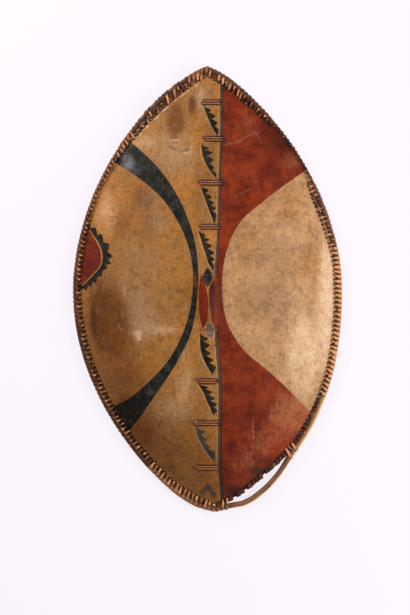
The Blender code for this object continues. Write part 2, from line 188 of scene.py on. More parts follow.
# Edges of the painted fields, as seen from the front
OVAL_EDGE = line_through(
    (232, 276), (214.5, 262), (189.1, 244.2), (160, 222.5), (137, 204.9), (104.2, 178), (87.7, 164),
    (74, 149.5), (63, 132), (52.6, 112.4), (44.8, 89.9), (38, 65.3), (33.6, 36.4), (32, 7.7), (33.3, -21.3),
    (37.2, -50), (44.6, -77.7), (56.8, -101.5), (70, -122), (88.5, -143.5), (116, -166.2), (144.5, -190),
    (178.2, -222), (206.9, -250), (228.6, -273.7),
)
CRESCENT_OUTER = line_through(
    (-232, 293), (-206.6, 282.9), (-183, 268.5), (-155.9, 249.5), (-126.9, 226.3), (-102.5, 202.9),
    (-82, 176.2), (-64.4, 147.4), (-49, 114.5), (-38.7, 81.6), (-34, 57), (-31.5, 24.1), (-33, -8.8),
    (-37.5, -41.7), (-45, -72), (-56.2, -102.4), (-74.5, -139.4), (-95, -169), (-121.9, -198),
    (-151.7, -225.5), (-181.1, -247.5), (-212.8, -264),
)
CRESCENT_INNER = line_through(
    (-186, 343), (-170.7, 329.5), (-149.5, 310.5), (-122.8, 284), (-98, 255.2), (-77.5, 225.5), (-57, 188.5),
    (-40.7, 149), (-29.9, 114.5), (-23.4, 80), (-20, 44.6), (-20, 15.8), (-22, -17), (-26, -50), (-33, -86),
    (-44.8, -118.9), (-60.8, -150), (-81, -184.6), (-104, -219), (-127.5, -253), (-151, -286.5),
    (-173.3, -315.4),
)
STRIPE = line_through(
    (31.9, 452), (30.5, 332), (27, 231), (24.7, 135), (22.5, 86), (20.2, 53), (19, 20), (18.5, -40),
    (20.3, -102), (28.1, -202), (28.2, -291), (28.4, -395), (33, -467),
)
RED_EDGE = line_through(
    (31.9, 452), (30.5, 332), (27, 231), (24.7, 135), (22.5, 86), (20.2, 53), (18.5, 32), (15, 19),
    (7.5, 10), (3.9, 0), (4, -24.5), (6.9, -51), (10.5, -75), (17, -92), (22, -110), (28.1, -202),
    (28.2, -291), (28.4, -395), (33, -467),
)
CREST = line_through((0.5, 20), (1.2, 0), (2.3, -26), (5.6, -54), (8.5, -76))
PETAL_LEFT = line_through((-13.5, 34), (-17.9, 8.5), (-19.3, -24.5), (-17.3, -57.5), (-11, -88))
PETAL_RIGHT = line_through(
    (-11.5, 34), (-8.9, 26), (-4.8, 8.5), (-0.8, -6.9), (1.2, -24.5), (1.4, -50.9), (-0.8, -68.5), (-10, -88),
)

# The half lens on the left edge, in turns round its own centre: degrees, then the edge of the red or the tips
# of the black teeth in millimetres
HALF_LENS = (-0.2774, 0.0703)
LENS_EDGE = (
    (-92, 60.8), (-76, 48), (-53, 41.3), (-26, 42.5), (-11, 42.1), (11, 41.4), (32, 43.3), (49, 46.5),
    (66, 52.3), (77, 62.8),
)
LENS_TIPS = (
    (-97, 76), (-85, 75), (-75, 68.5), (-63, 65), (-45, 59), (-23, 61), (-12, 67), (2, 67), (25, 67),
    (50, 67), (68, 73), (84, 80),
)

# Seven wedges beside the stripe: the black line down their left side, then the tips of their teeth
WEDGES = (
    (((-7, 407.8), (0.6, 384.8), (10.4, 362), (23.8, 339.2)),
     ((2.4, 402.1), (13.6, 387.1), (19.1, 372), (23.8, 355.6))),
    (((-12.3, 321.9), (-8.5, 291.6), (1.5, 270.2), (22.1, 242.1)),
     ((-1, 314), (6.8, 303.8), (9.3, 288.2), (11.9, 270.2), (17, 257.8))),
    (((-13.6, 226.4), (1.5, 183.1), (16.9, 141.7)),
     ((-2, 222), (6.8, 204), (11, 192), (15.6, 180), (18.3, 165.3))),
    (((-18.9, 129.1), (-10.3, 99.6), (-1.9, 73.6), (6.5, 49.9), (15.2, 38.2)),
     ((-6, 119), (0.3, 110.6), (5, 97.3), (11.6, 81.8), (13.4, 66.3), (15.2, 53))),
    (((-15.6, -97.5), (-12.7, -139.6), (-4.3, -161.8), (12.5, -190.7)),
     ((-3, -108), (1.4, -122), (2.8, -139.6), (8.1, -154), (17, -170.6))),
    (((-19, -210.7), (-8.8, -226.3), (-0.3, -248), (7.5, -263.2), (13.5, -280.1)),
     ((-1.9, -215.2), (5.9, -225.7), (12.6, -239.7), (17, -253), (21, -268))),
    (((-25.2, -306.4), (-20.1, -325.1), (-9.2, -348.9), (4.2, -370.4), (20.5, -388.7)),
     ((-9.2, -313.8), (-6.5, -332), (0.8, -348.9), (13.1, -361))),
)
CHEVRON = (0.0027, -0.439)
TIES = (
    (0.4168, -0.0097, 0.0262), (0.3333, -0.0052, 0.0320), (0.2348, -0.0141, 0.0281),
    (0.1368, -0.0118, 0.0236), (0.0300, -0.0130, 0.0165), (-0.0890, -0.0141, 0.0203),
    (-0.2039, -0.0185, 0.0192), (-0.2971, -0.0240, 0.0245), (-0.3980, -0.0231, 0.0216),
)
LACE_PITCH = 0.0106
LACE_ANGLES = np.linspace(0, TURN, 4001)
lace_run = np.concatenate([[0], np.cumsum(np.hypot(*np.diff(rim(LACE_ANGLES, 0.0085))))])
LACE_TURNS = round(lace_run[-1] / LACE_PITCH)
lace_run *= LACE_TURNS / lace_run[-1]

# How far in from the outline the hide's cut edge and the lacing's holes lie, from the lower tip to the upper:
# share of the half length, millimetres. The skin is torn back at the upper left and the lower right.
LEFT_EDGE = (
    (-1, 13.6), (-0.97, 11.3), (-0.92, 10.8), (-0.85, 12.2), (-0.7, 13.4), (0.0, 13.4), (0.25, 12),
    (0.36, 9.5), (0.42, 7.6), (0.58, 7.6), (0.64, 9.2), (0.70, 9.2), (0.78, 9.2), (0.86, 10.2), (0.93, 12.4),
    (1, 14),
)
RIGHT_EDGE = (
    (-1, 13.6), (-0.97, 16.5), (-0.88, 20), (-0.80, 17.5), (-0.74, 14), (-0.70, 12), (-0.48, 11.6),
    (0.15, 11.8), (0.25, 13.8), (0.38, 15.5), (0.45, 13.8), (0.50, 8), (0.55, 4.5), (0.72, 4.5), (0.78, 9),
    (0.84, 12.6), (0.93, 12.8), (1, 14),
)
LEFT_HOLES = (
    (-1, 20), (-0.5, 19), (0.1, 17.5), (0.3, 14.5), (0.42, 11), (0.58, 11), (0.64, 14), (0.70, 16),
    (0.78, 18), (0.86, 21), (0.93, 23), (1, 22),
)
RIGHT_HOLES = (
    (-1, 21), (-0.96, 23), (-0.88, 26), (-0.80, 25), (-0.74, 22), (-0.70, 19), (-0.48, 17), (-0.40, 16.2),
    (0.15, 16.2), (0.25, 20), (0.42, 22), (0.48, 17), (0.52, 9.5), (0.56, 8.5), (0.72, 8.5), (0.80, 17),
    (0.86, 22), (1, 22),
)


def read_off(angle, left, right):
    """The value at a place round the rim, from a left and a right table."""
    t = -np.cos(angle)
    on_left = np.interp(t, *np.array(left, dtype=float).T)
    on_right = np.interp(t, *np.array(right, dtype=float).T)
    return np.where(np.asarray(angle) % TURN < math.pi, on_left, on_right)


def inset_at(angle, left, right):
    """The same for tables in millimetres, in metres."""
    return read_off(angle, left, right) / 1000


def patches(x, y, *places):
    """A sum of soft round patches: (x, y, spread across, spread along, strength), lengths in millimetres."""
    return sum(
        strength * bell(x, px / 1000, across / 1000) * bell(y, py / 1000, along / 1000)
        for px, py, across, along, strength in places
    )


def to_line(x, y, places):
    """Distance to a bent line through (x, y) places in millimetres."""
    nearest = np.full(x.shape, 9.0)
    spots = np.array(places) / 1000
    for start, end in zip(spots, spots[1:]):
        run = end - start
        part = np.clip(((x - start[0]) * run[0] + (y - start[1]) * run[1]) / run.dot(run), 0, 1)
        far = np.hypot(x - start[0] - part * run[0], y - start[1] - part * run[1])
        nearest = np.minimum(nearest, far)
    return nearest


def rough(x, y, size, seed=0.0, octaves=3):
    """Smooth random unevenness from -1 to 1, its bumps about size across."""
    return np.array([
        noise.fractal(Vector((a / size, b / size, seed)), 1.0, 2.0, octaves) for a, b in zip(x, y)
    ])


ROWS = 290
COLUMNS = 164
TIP_CUT = 0.995
NEAR_TIPS = 0.6
NEAR_EDGES = 0.35
FULL_WIDTH_FROM = 0.144
TEAR_GRAIN = 0.012
TEAR_DEPTH = 0.0016
sheet = bmesh.new()
bmesh.ops.create_grid(sheet, x_segments=COLUMNS, y_segments=ROWS, size=1.0)
across, along = np.array([vert.co.xy for vert in sheet.verts]).T
reach = (HALF_LENGTH - HIDE_INSET) * TIP_CUT
y = reach * np.sin(along * NEAR_TIPS * math.pi / 2) / math.sin(NEAR_TIPS * math.pi / 2)
edges = []
for side in (-1, 1):
    edge_angle = np.interp(y, EDGES[side][1], EDGE_ANGLES[side])
    square = np.maximum(0.35, np.abs(way_along(edge_angle)[1]))
    lost = inset_at(edge_angle, LEFT_EDGE, RIGHT_EDGE) - HIDE_INSET
    torn = np.clip(lost * 250, 0.3, 1.4)
    lost += TEAR_DEPTH * torn * rough(y * 0 + 5.0 + side * 2.0, y, TEAR_GRAIN, seed=2.0, octaves=4)
    plain_edge = np.interp(y, EDGES[side][1], EDGES[side][0])
    edges.append((plain_edge - side * lost / square, plain_edge, edge_angle, square))
left, right = edges[0][0], edges[1][0]
centre = (left + right) / 2
centre += (STAVE_LINE_X - centre) * np.minimum(1, (right - left) / FULL_WIDTH_FROM)
spread = across - NEAR_EDGES * np.sin(TURN * across) / TURN
x = centre + spread * np.where(across > 0, right - centre, centre - left)
height = front_height(x, y)

# Unevenness that the mould and the drying left, creases in the skin, and dents where the ties pull it down
inner = np.clip((1 - np.abs(across)) * 6, 0, 1) * np.clip((1 - np.abs(along)) * 8, 0, 1)
height += inner * (0.0016 * rough(x, y, 0.11, seed=5.0) + 0.0005 * rough(x, y, 0.028, seed=9.0))
height += inner * patches(
    x, y, (-225, 165, 45, 70, 0.004), (232, 30, 45, 110, 0.003), (-40, 350, 60, 60, 0.002),
    (-70, 385, 30, 45, -0.003), (-52, 240, 40, 60, -0.0015), (60, 400, 30, 50, -0.0015),
)
CREASES = (
    (0.0032, 0.0006, ((-117, 375), (-98, 352), (-80, 334))),
    (0.0024, 0.0006, ((-76, 322), (-60, 320), (-48, 311), (-40, 300))),
    (0.0024, 0.0004, ((-82, 314), (-68, 306), (-52, 303))),
    (0.0026, 0.0008, ((132, -2), (150, -18), (176, -52), (195, -87))),
    (0.0026, 0.0006, ((196, 2), (178, -20), (150, -18))),
    (0.0022, 0.0005, ((99.5, -285), (98, -305), (99.7, -330))),
    (0.0026, 0.0002, ((42, 323), (70, 338), (102, 352))),
    (0.0060, 0.0005, ((-150, 30), (-120, -10), (-112, -60))),
    (0.0050, 0.0006, ((-205, -60), (-175, -110), (-150, -150))),
    (0.0030, 0.0006, ((-246, 190), (-228, 176), (-205, 172))),
    (0.0030, 0.0005, ((-248, 165), (-226, 150), (-206, 148))),
)
FOLD_CENTRE = (-0.062, 0.319)
FOLD_HALF_WIDTH = 0.0235
FOLD_HALF_HEIGHT = 0.0150
FOLD_SLANT = 0.050
LIGHT_STEP = 0.0018


def crease_at(x, y):
    """Depth of the creases, with the folded ring above the crescent."""
    rise = y - FOLD_CENTRE[1]
    across_fold = (x - FOLD_CENTRE[0]) / FOLD_HALF_WIDTH + rise / FOLD_SLANT
    up_fold = rise / FOLD_HALF_HEIGHT
    from_fold = (np.hypot(across_fold, up_fold) - 1) * 0.017
    broken = 0.55 + 0.45 * np.sin(4.3 * np.arctan2(up_fold, across_fold) + 0.8)
    fold = 0.0009 * broken * bell(from_fold, 0, 0.0030)
    return fold + sum(deep * bell(to_line(x, y, line), 0, wide) for wide, deep, line in CREASES)


crease = crease_at(x, y)
lit = crease_at(x - LIGHT_STEP, y + LIGHT_STEP) - crease_at(x + LIGHT_STEP, y - LIGHT_STEP)
height -= inner * crease * 1.3
dent = sum(
    bell(y, tie_y, 0.007) * (bell(x, tie_left, 0.0045) + bell(x, tie_right, 0.0045))
    for tie_y, tie_left, tie_right in TIES
)
height -= 0.0011 * dent * inner

# Where each painted field begins, and how far each point is inside it
crescent = np.minimum(right_of(CRESCENT_OUTER, x, y), -right_of(CRESCENT_INNER, x, y))
eye = 0.7 * (0.0094 * (1 - ((y - 0.0255) / 0.0225) ** 2) - np.abs(x - 0.0005))
arm = np.where(x < CHEVRON[0], 1.117, 1.6)
chevron = 0.0050 - 0.6 * np.abs(CHEVRON[1] - arm * np.hypot(x - CHEVRON[0], 0.004) - y)
chevron = np.minimum(chevron, 0.027 - np.hypot(x - CHEVRON[0], (y - CHEVRON[1]) * 0.9))
petal = np.minimum(right_of(PETAL_LEFT, x, y), -right_of(PETAL_RIGHT, x, y))
petal = np.minimum(petal, 0.061 - np.abs(y + 0.027))
turned = np.degrees(np.arctan2(y - HALF_LENS[1], x - HALF_LENS[0]))
from_lens = np.hypot(x - HALF_LENS[0], y - HALF_LENS[1])
lens_edge = np.interp(turned, *np.array(LENS_EDGE).T) / 1000
lens_tip = np.interp(turned, *np.array(LENS_TIPS).T) / 1000
red = np.minimum(right_of(RED_EDGE, x, y), -right_of(OVAL_EDGE, x, y))
red = np.maximum(np.maximum(red, petal), lens_edge - from_lens)
wedge_y, wedge_x, tooth_y, tooth_reach, tooth_number = [], [], [], [], []
for number, (side_line, tips) in enumerate(WEDGES):
    line = line_through(*side_line)
    top, bottom = side_line[0][1] / 1000, side_line[-1][1] / 1000
    for step in np.linspace(top, bottom, 12):
        wedge_y.append(step)
        wedge_x.append(line(step) - 0.0015)
    tooth_y += [top + 0.003, top]
    tooth_reach += [0.0001, 0.0045]
    tooth_number += [number * 20 - 1.0, number * 20 - 0.6]
    for place, (tip_x, tip_y) in enumerate(tips):
        tooth_y.append(tip_y / 1000)
        tooth_reach.append(1.3 * (tip_x / 1000 - line(tip_y / 1000)) + 0.002)
        tooth_number.append(number * 20 + place)
    tooth_y += [bottom, bottom - 0.003]
    tooth_reach += [0.0022, 0.0001]
    tooth_number += [number * 20 + len(tips) - 0.4, number * 20 + len(tips)]
wedge_line = np.interp(-y, -np.array(wedge_y), wedge_x)
wedge_reach = np.interp(-y, -np.array(tooth_y), tooth_reach)
edge_x, plain_x, edge_angle, square = np.where(across > 0, edges[1], edges[0])
from_holes = np.abs(plain_x - x) * square + HIDE_INSET - inset_at(edge_angle, LEFT_HOLES, RIGHT_HOLES)
from_tie = np.full(x.shape, 1.0)
for tie_y, tie_left, tie_right in TIES[:4] + TIES[6:]:
    aside = np.maximum(np.maximum(tie_left - x, x - tie_right), 0)
    above = np.maximum(np.abs(y - tie_y) - 0.0042, 0)
    from_tie = np.minimum(from_tie, np.hypot(aside, above))
# A strip right of the red's edge beside the grip, to be painted darker as the shade on the keel's right flank
shaded_flank_sliver = np.minimum(right_of(RED_EDGE, x, y), 0.0085 - 0.07 * (0.012 - y) - right_of(RED_EDGE, x, y))
shaded_flank_sliver = np.minimum(shaded_flank_sliver, 0.036 - np.abs(y + 0.020))
SCRATCHES = (
    ((-182, -48), (-160, -105)), ((-176, -105), (-150, -58)), ((-150, -100), (-140, -125)),
    ((-98, -88), (-70, -96)),
    ((104, 352), (117, 336)), ((98, 345), (120, 352)), ((102, -285), (104, -330)),
    ((40, 320), (66, 326), (88, 339), (100, 346)), ((62, 205), (96, 222)), ((-120, 300), (-96, 268)),
    ((-235, 205), (-205, 150)), ((-222, 190), (-190, 120)),
)
fields = {
    "black": np.maximum(crescent, eye),
    "chevron": chevron,
    "red": red,
    "petal": petal,
    "shaded_flank": shaded_flank_sliver,
    "oval": right_of(OVAL_EDGE, x, y),
    "stripe": x - STRIPE(y),
    "stripe_shows": np.clip((np.abs(y + 0.025) - 0.050) / 0.012, 0, 1),
    "lens_out": np.clip((from_lens - lens_edge) / (lens_tip - lens_edge), -3, 3),
    "lens_tooth": np.interp(turned, [angle for angle, _ in LENS_TIPS], range(len(LENS_TIPS))),
    "wedge_out": np.clip((x - wedge_line) / wedge_reach, -30, 30),
    "wedge_tooth": np.interp(-y, -np.array(tooth_y), tooth_number),
    "edge": np.abs(edge_x - x) * square,
    "holes": from_holes,
    "tie": from_tie,
    "scratch": np.minimum.reduce([to_line(x, y, line) for line in SCRATCHES]),
    "stitch": np.interp(edge_angle, LACE_ANGLES, lace_run),
    "crease": crease * 900,
    "lit": lit * 900,
    # A pale line along the hide's edge at the upper left: a painted highlight
    "lip_highlight": bell(from_holes + 0.0022 * rough(x, y, 0.020, seed=3.0), 0.0042, 0.0026)
    * np.clip((y - 0.27) * 12, 0, 1) * (x < -0.02),
    "worn_patch": 1 - np.hypot((x - 0.0060 + (y + 0.0917) * 0.15) / 0.0085, (y + 0.0917) / 0.0175),
}

# Soft patches of colour and wear, each given as patches() takes it
PATCHES = {
    # Stains, and one painted shadow beside a fold near the upper tip
    "stain": (
        (-222, -45, 38, 50, 0.9), (-215, -95, 40, 50, 1.2), (-175, -190, 60, 60, 0.45),
        (-70, 376, 20, 40, 1.05), (-200, 250, 50, 40, 0.2), (-14, 300, 14, 110, 0.25),
        (205, -190, 30, 60, 0.35), (-130, 130, 30, 60, 0.35), (-60, 210, 30, 20, 0.2),
        (-32, 380, 14, 60, 0.25), (-250, 30, 20, 60, 0.4), (-120, 0, 60, 30, 0.2), (-150, 205, 30, 40, 0.4),
        (-60, 110, 20, 30, 0.3), (-190, 138, 24, 38, 0.45), (-34, 412, 8, 20, 0.8),
    ),
    # Painted shade: mostly over the lower left and round the lower tip, and on the keel's right flank beside
    # the grip
    "dim": (
        (-190, -230, 90, 90, 0.42), (-140, -320, 36, 36, 0.4), (-182, -278, 22, 34, 1.3),
        (-90, -360, 110, 90, 0.62), (-240, -60, 40, 110, 0.45), (20, -440, 70, 70, 0.55),
        (78, -281, 34, 40, 0.3), (165, 325, 60, 50, 0.75), (-60, 420, 60, 30, 0.3), (11, -20, 5.5, 40, 1.6),
        (25, -20, 9, 60, 0.7), (6, 300, 16, 120, 0.40), (-22, 199, 12, 60, 0.3), (-128, 205, 30, 30, 0.35),
    ),
    # Paler patches: partly bleaching, partly painted highlight along the right edge, low on the right, on the
    # bulge at the left and beside the fold near the upper tip
    "pale": (
        (-226, 172, 28, 58, 0.58), (-95, 20, 50, 90, 0.2), (270, 0, 20, 150, 1.3), (212, -110, 40, 90, 0.85),
        (215, -190, 34, 60, 0.85), (-150, 330, 60, 30, 0.5), (-150, -70, 40, 40, 0.3),
        (-95, -92, 40, 14, 0.5), (-50, 400, 25, 60, 0.25), (100, -70, 50, 60, 0.25),
        (-152, -106, 7, 12, 0.9), (-158, -98, 12, 5, 0.5), (-16, 425, 10, 30, 0.7), (-48, -205, 22, 60, 0.5),
        (-60, 290, 48, 56, 0.3), (-85, -268, 48, 48, 0.45),
    ),
    "grey": (
        (-150, 60, 55, 75, 0.7), (-110, 150, 40, 30, 0.5), (150, 80, 70, 80, 0.5), (120, -30, 60, 60, 0.6),
        (-150, -75, 42, 45, 1.1), (-76, 296, 55, 60, 0.95), (60, 400, 50, 60, 0.3), (-110, -330, 40, 40, 0.3),
        (165, -60, 35, 70, 0.5), (-15, 430, 30, 34, 0.8), (-128, 200, 34, 34, 0.9), (-172, -24, 34, 44, 0.6),
        (-60, -300, 50, 60, 0.3), (40, 120, 30, 60, 0.2),
    ),
    "gold": (
        (-230, 165, 34, 72, 1.0), (-120, 45, 40, 50, 0.4), (-28, 340, 24, 50, 0.7), (-200, -160, 40, 40, 0.5),
        (-120, -180, 50, 20, 0.5), (40, -160, 90, 30, 0.3), (150, -200, 40, 30, 0.5), (0, 90, 20, 200, 0.4),
    ),
    "chalk": (
        (-178, 284, 20, 24, 0.85), (-150, 262, 16, 16, 0.4), (-125, -226, 30, 26, 0.42),
        (-60, -150, 16, 30, 0.4),
    ),
    "scuff": (
        (178, -285, 45, 45, 1.0), (212, -262, 34, 34, 0.7), (95, 370, 40, 40, 0.5), (190, 290, 30, 30, 0.6),
        (-95, 235, 14, 40, 0.4), (120, -345, 40, 40, 0.45), (78, -395, 44, 44, 0.55), (-28, 18, 6, 16, 1.4),
    ),
    "soot": (
        (50, 455, 26, 16, 0.9), (98, 425, 26, 20, 1.2), (142, 382, 24, 24, 1.1), (178, 335, 14, 24, 0.7),
        (22, 330, 9, 9, 0.7), (12, -462, 18, 10, 0.5), (-40, 462, 20, 14, 0.5), (110, -405, 34, 16, 0.8),
        (60, -450, 30, 16, 0.9), (190, -330, 18, 30, 0.5), (-130, -330, 14, 40, 0.5),
        (-80, -395, 30, 18, 0.6), (-190, -240, 10, 40, 0.5), (-254, -70, 12, 60, 0.7),
        (-60, -425, 26, 16, 0.5),
    ),
}
fields.update({name: patches(x, y, *places) for name, places in PATCHES.items()})
layers = [sheet.verts.layers.float.new(name) for name in fields]
for vert, place, *marks in zip(sheet.verts, np.array([x, y, height]).T.tolist(), *fields.values()):
    vert.co = place
    for layer, mark in zip(layers, marks):
        vert[layer] = float(mark)


def tint(red, green, blue):
    """A colour from its 0 to 255 screen values."""
    return tuple(
        ((v / 255 + 0.055) / 1.055) ** 2.4 if v > 10 else v / 255 / 12.92 for v in (red, green, blue)
    )


class Wire:
    """One output of a shader node. Arithmetic on it adds Math nodes."""

    def __init__(self, finish, socket):
        self.finish = finish
        self.socket = socket

    def work(self, operation, *values):
        return self.finish.node("ShaderNodeMath", {"operation": operation}, dict(enumerate(values)))

    def __add__(self, other):
        return self.work("ADD", self, other)

    def __radd__(self, other):
        return self.work("ADD", other, self)

    def __sub__(self, other):
        return self.work("SUBTRACT", self, other)

    def __rsub__(self, other):
        return self.work("SUBTRACT", other, self)

    def __mul__(self, other):
        return self.work("MULTIPLY", self, other)

    def __rmul__(self, other):
        return self.work("MULTIPLY", other, self)

    def __abs__(self):
        return self.work("ABSOLUTE", self)

    def __and__(self, other):
        return self.work("MINIMUM", self, other)

    def __or__(self, other):
        return self.work("MAXIMUM", self, other)

    def part(self):
        """What is left after the whole number."""
        return self.work("FRACT", self)

    def rise(self, low, high):
        """0 below low and 1 above high, smooth between; a low above high falls instead."""
        settings = {"interpolation_type": "SMOOTHSTEP"}
        return self.finish.node("ShaderNodeMapRange", settings, {0: self, 1: low, 2: high, 3: 0.0, 4: 1.0})


class Finish:
    """One procedural material."""

    def __init__(self, name):
        self.material = bpy.data.materials.new(name)
        self.material.use_nodes = True
        self.tree = self.material.node_tree
        self.shader = self.tree.nodes["Principled BSDF"]

    def node(self, kind, settings=None, values=None, output=0):
        """Adds one node: its settings first, then the values or links of its sockets."""
        made = self.tree.nodes.new(kind)
        for name, value in (settings or {}).items():
            setattr(made, name, value)
        for socket, value in (values or {}).items():
            self.put(made.inputs[socket], value)
        return Wire(self, made.outputs[output])

    def put(self, socket, value):
        if isinstance(value, Wire):
            self.tree.links.new(value.socket, socket)
        elif isinstance(value, tuple) and len(socket.default_value) == 4:
            socket.default_value = (*tint(*value), 1.0)
        else:
            socket.default_value = value

    def mix(self, amount, under, over, blend="MIX"):
        """Lays one colour over another."""
        settings = {"data_type": "RGBA", "blend_type": blend, "clamp_factor": True}
        return self.node("ShaderNodeMix", settings, {0: amount, 6: under, 7: over}, output=2)

    def coats(self, colour, *coats):
        """Lays coats over a colour in turn, each an amount, a colour and perhaps a way of blending."""
        for amount, over, *blend in coats:
            colour = self.mix(amount, colour, over, *blend)
        return colour

    def mark(self, name):
        """A value painted on the mesh."""
        return self.node("ShaderNodeAttribute", {"attribute_name": name}, output="Fac")

    def place(self, stretch=(1.0, 1.0, 1.0), shift=(0.0, 0.0, 0.0)):
        """The point on the object, stretched along its axes."""
        where = self.node("ShaderNodeTexCoord", output="Object")
        return self.node("ShaderNodeMapping", {}, {0: where, 1: shift, 3: stretch})

    def place_along(self, axis):
        """The point's place along one axis."""
        return self.node("ShaderNodeSeparateXYZ", {}, {0: self.place()}, output=axis)

    def unevenness(self, size, detail=2.0, seed=0.0, where=None, roughness=0.5):
        """Soft noise from 0 to 1, its spots about size across."""
        where = where or self.place(shift=(seed, seed * 0.7, 0.0))
        values = {"Vector": where, "Scale": 1 / size, "Detail": detail, "Roughness": roughness}
        return self.node("ShaderNodeTexNoise", {}, values)

    def relief(self, height, distance, strength=1.0):
        """Bump from a height, into the shader's normal."""
        values = {"Height": height, "Distance": distance, "Strength": strength}
        self.put(self.shader.inputs["Normal"], self.node("ShaderNodeBump", {}, values))

    def finish(self, colour, roughness, specular=0.5):
        self.put(self.shader.inputs["Base Color"], colour)
        self.put(self.shader.inputs["Roughness"], roughness)
        self.shader.inputs["Specular IOR Level"].default_value = specular
        return self.material


skin = Finish("painted rawhide")
cloud = skin.unevenness(0.085, 4.0, 1.0)
patchy = skin.unevenness(0.045, 5.0, 2.3, roughness=0.6)
blotch = skin.unevenness(0.018, 4.0, 3.0, roughness=0.65)
mottle = skin.unevenness(0.0055, 3.0, 5.0, roughness=0.7)
grain = skin.unevenness(0.0022, 2.0, 7.0, roughness=0.7)
streak = skin.unevenness(0.012, 3.0, where=skin.place(stretch=(1.0, 0.32, 1.0), shift=(4.0, 2.0, 0.0)))
brushed = skin.unevenness(0.0030, 2.0, where=skin.place(stretch=(1.0, 0.10, 1.0), shift=(1.0, 7.0, 0.0)))
swirl = skin.node("ShaderNodeTexNoise", {}, {"Vector": skin.place(), "Scale": 90.0}, output="Color")
swirl = skin.node("ShaderNodeVectorMath", {"operation": "SCALE"}, {0: swirl, "Scale": 0.012})
swirled = skin.node("ShaderNodeVectorMath", {"operation": "ADD"}, {0: skin.place(), 1: swirl})
veins = skin.node("ShaderNodeTexVoronoi", {"feature": "DISTANCE_TO_EDGE"}, {"Vector": swirled, "Scale": 85.0})
wrinkle = veins.rise(0.09, 0.0) * cloud.rise(0.40, 0.62)
wobble = (mottle - 0.5) * 0.0016
stain, pale, grey, scuff, dim, lit_side, lip_highlight, shows, holes = (
    skin.mark(name)
    for name in ("stain", "pale", "grey", "scuff", "dim", "lit", "lip_highlight", "stripe_shows", "holes")
)

# Bare tan skin: warmer on the left, paler on the right, with grease, old stains, pores and veins. Its pale
# patches are partly bleaching and partly painted highlight, along the right edge and on the bulge at the
# left, where the veins carry painted glints; one stain patch is the painted shadow beside a fold near the
# upper tip.
oval_side = skin.mark("oval").rise(-0.001, 0.001)
golden = (skin.mark("gold") * (0.4 + patchy) + cloud.rise(0.50, 0.66) * 0.6).rise(0.1, 0.9)
tan = skin.coats(
    skin.mix(patchy.rise(0.36, 0.62), (172, 113, 48), (160, 113, 62)),
    (oval_side * 0.92, skin.mix((cloud * 0.5 + patchy * 0.5).rise(0.40, 0.60), (195, 150, 107),
    (176, 130, 87))),
    (golden * (0.8 - oval_side * 0.5), (192, 124, 54)),
    ((grey * 0.6 + streak * 0.6 + blotch * 0.4 - 0.55).rise(0.0, 0.55) * 0.65, (162, 126, 94)),
    # Pale patches, partly bleaching and partly painted highlight
    ((pale * (0.4 + streak)).rise(0.05, 1.0) * 0.75, (228, 190, 150)),
    # Old stains, with a painted fold shadow among them
    ((stain * (0.25 + patchy * 0.8 + blotch)).rise(0.10, 0.85) * 0.85, (116, 62, 18)),
    ((patchy * 0.35 + blotch * 0.65).rise(0.50, 0.66) * (0.66 - oval_side * 0.48), (118, 74, 36)),
    ((mottle * 0.6 + blotch * 0.4).rise(0.53, 0.68) * (0.32 - oval_side * 0.16), (104, 62, 30)),
    (wrinkle * 0.22, (112, 76, 44)),
    # Painted glints on the veins where the skin is pale
    (veins.rise(0.14, 0.02) * pale.rise(0.35, 0.9) * 0.35, (240, 212, 180)),
    ((streak * 0.6 + brushed * 0.4).rise(0.54, 0.70) * 0.22, (224, 188, 144)),
)

# Red ochre and soot black, both rubbed thin in streaks
red_here = (skin.mark("red") + wobble).rise(-0.0005, 0.0005)
black_here = (skin.mark("black") + wobble).rise(-0.0005, 0.0005)
thin = (scuff * 0.35 + streak * 0.5 + brushed * 0.5).rise(0.62, 0.85)
flaked = (mottle * 0.6 + grain * 0.4).rise(0.54, 0.68)
lit_petal_red = skin.mix((patchy + scuff).rise(0.4, 1.2), (122, 33, 1), (176, 70, 34))
ochre = skin.coats(
    skin.mix(patchy.rise(0.36, 0.64), (108, 30, 4), (134, 47, 14)),
    # The petal on the keel's left flank painted a brighter red, as painted light on its lit side
    (skin.mark("petal").rise(-0.0004, 0.0012), lit_petal_red),
    ((scuff * (0.3 + streak)).rise(0.10, 0.9) * 0.60, (178, 92, 70)),
    ((mottle * 0.5 + blotch * 0.5).rise(0.54, 0.68) * 0.4, (84, 23, 7)),
    # Painted shade on the keel's right flank
    (skin.mark("shaded_flank").rise(0.0, 0.0012) * 0.6, (86, 38, 16)),
)
soot_black = skin.coats(
    skin.mix(blotch.rise(0.35, 0.7), (16, 19, 18), (44, 46, 43)),
    ((skin.mark("chalk") * (blotch * 0.8 + streak * 0.9)).rise(0.2, 0.9) * 0.9, (124, 124, 128)),
    (flaked * 0.28, (116, 98, 70)),
)


def toothed(out_name, tooth_name, valley, peak):
    """How far out from a border's line a point lies, and whether a tooth covers it."""
    out = skin.mark(out_name) + (mottle - 0.5) * 0.14
    tooth = (skin.mark(tooth_name) + 0.5).part()
    limit = valley + (1 - valley) * (1 - abs(tooth - peak) * 2)
    return out, out.rise(0.0, 0.06) * (out - limit).rise(0.05, -0.05)


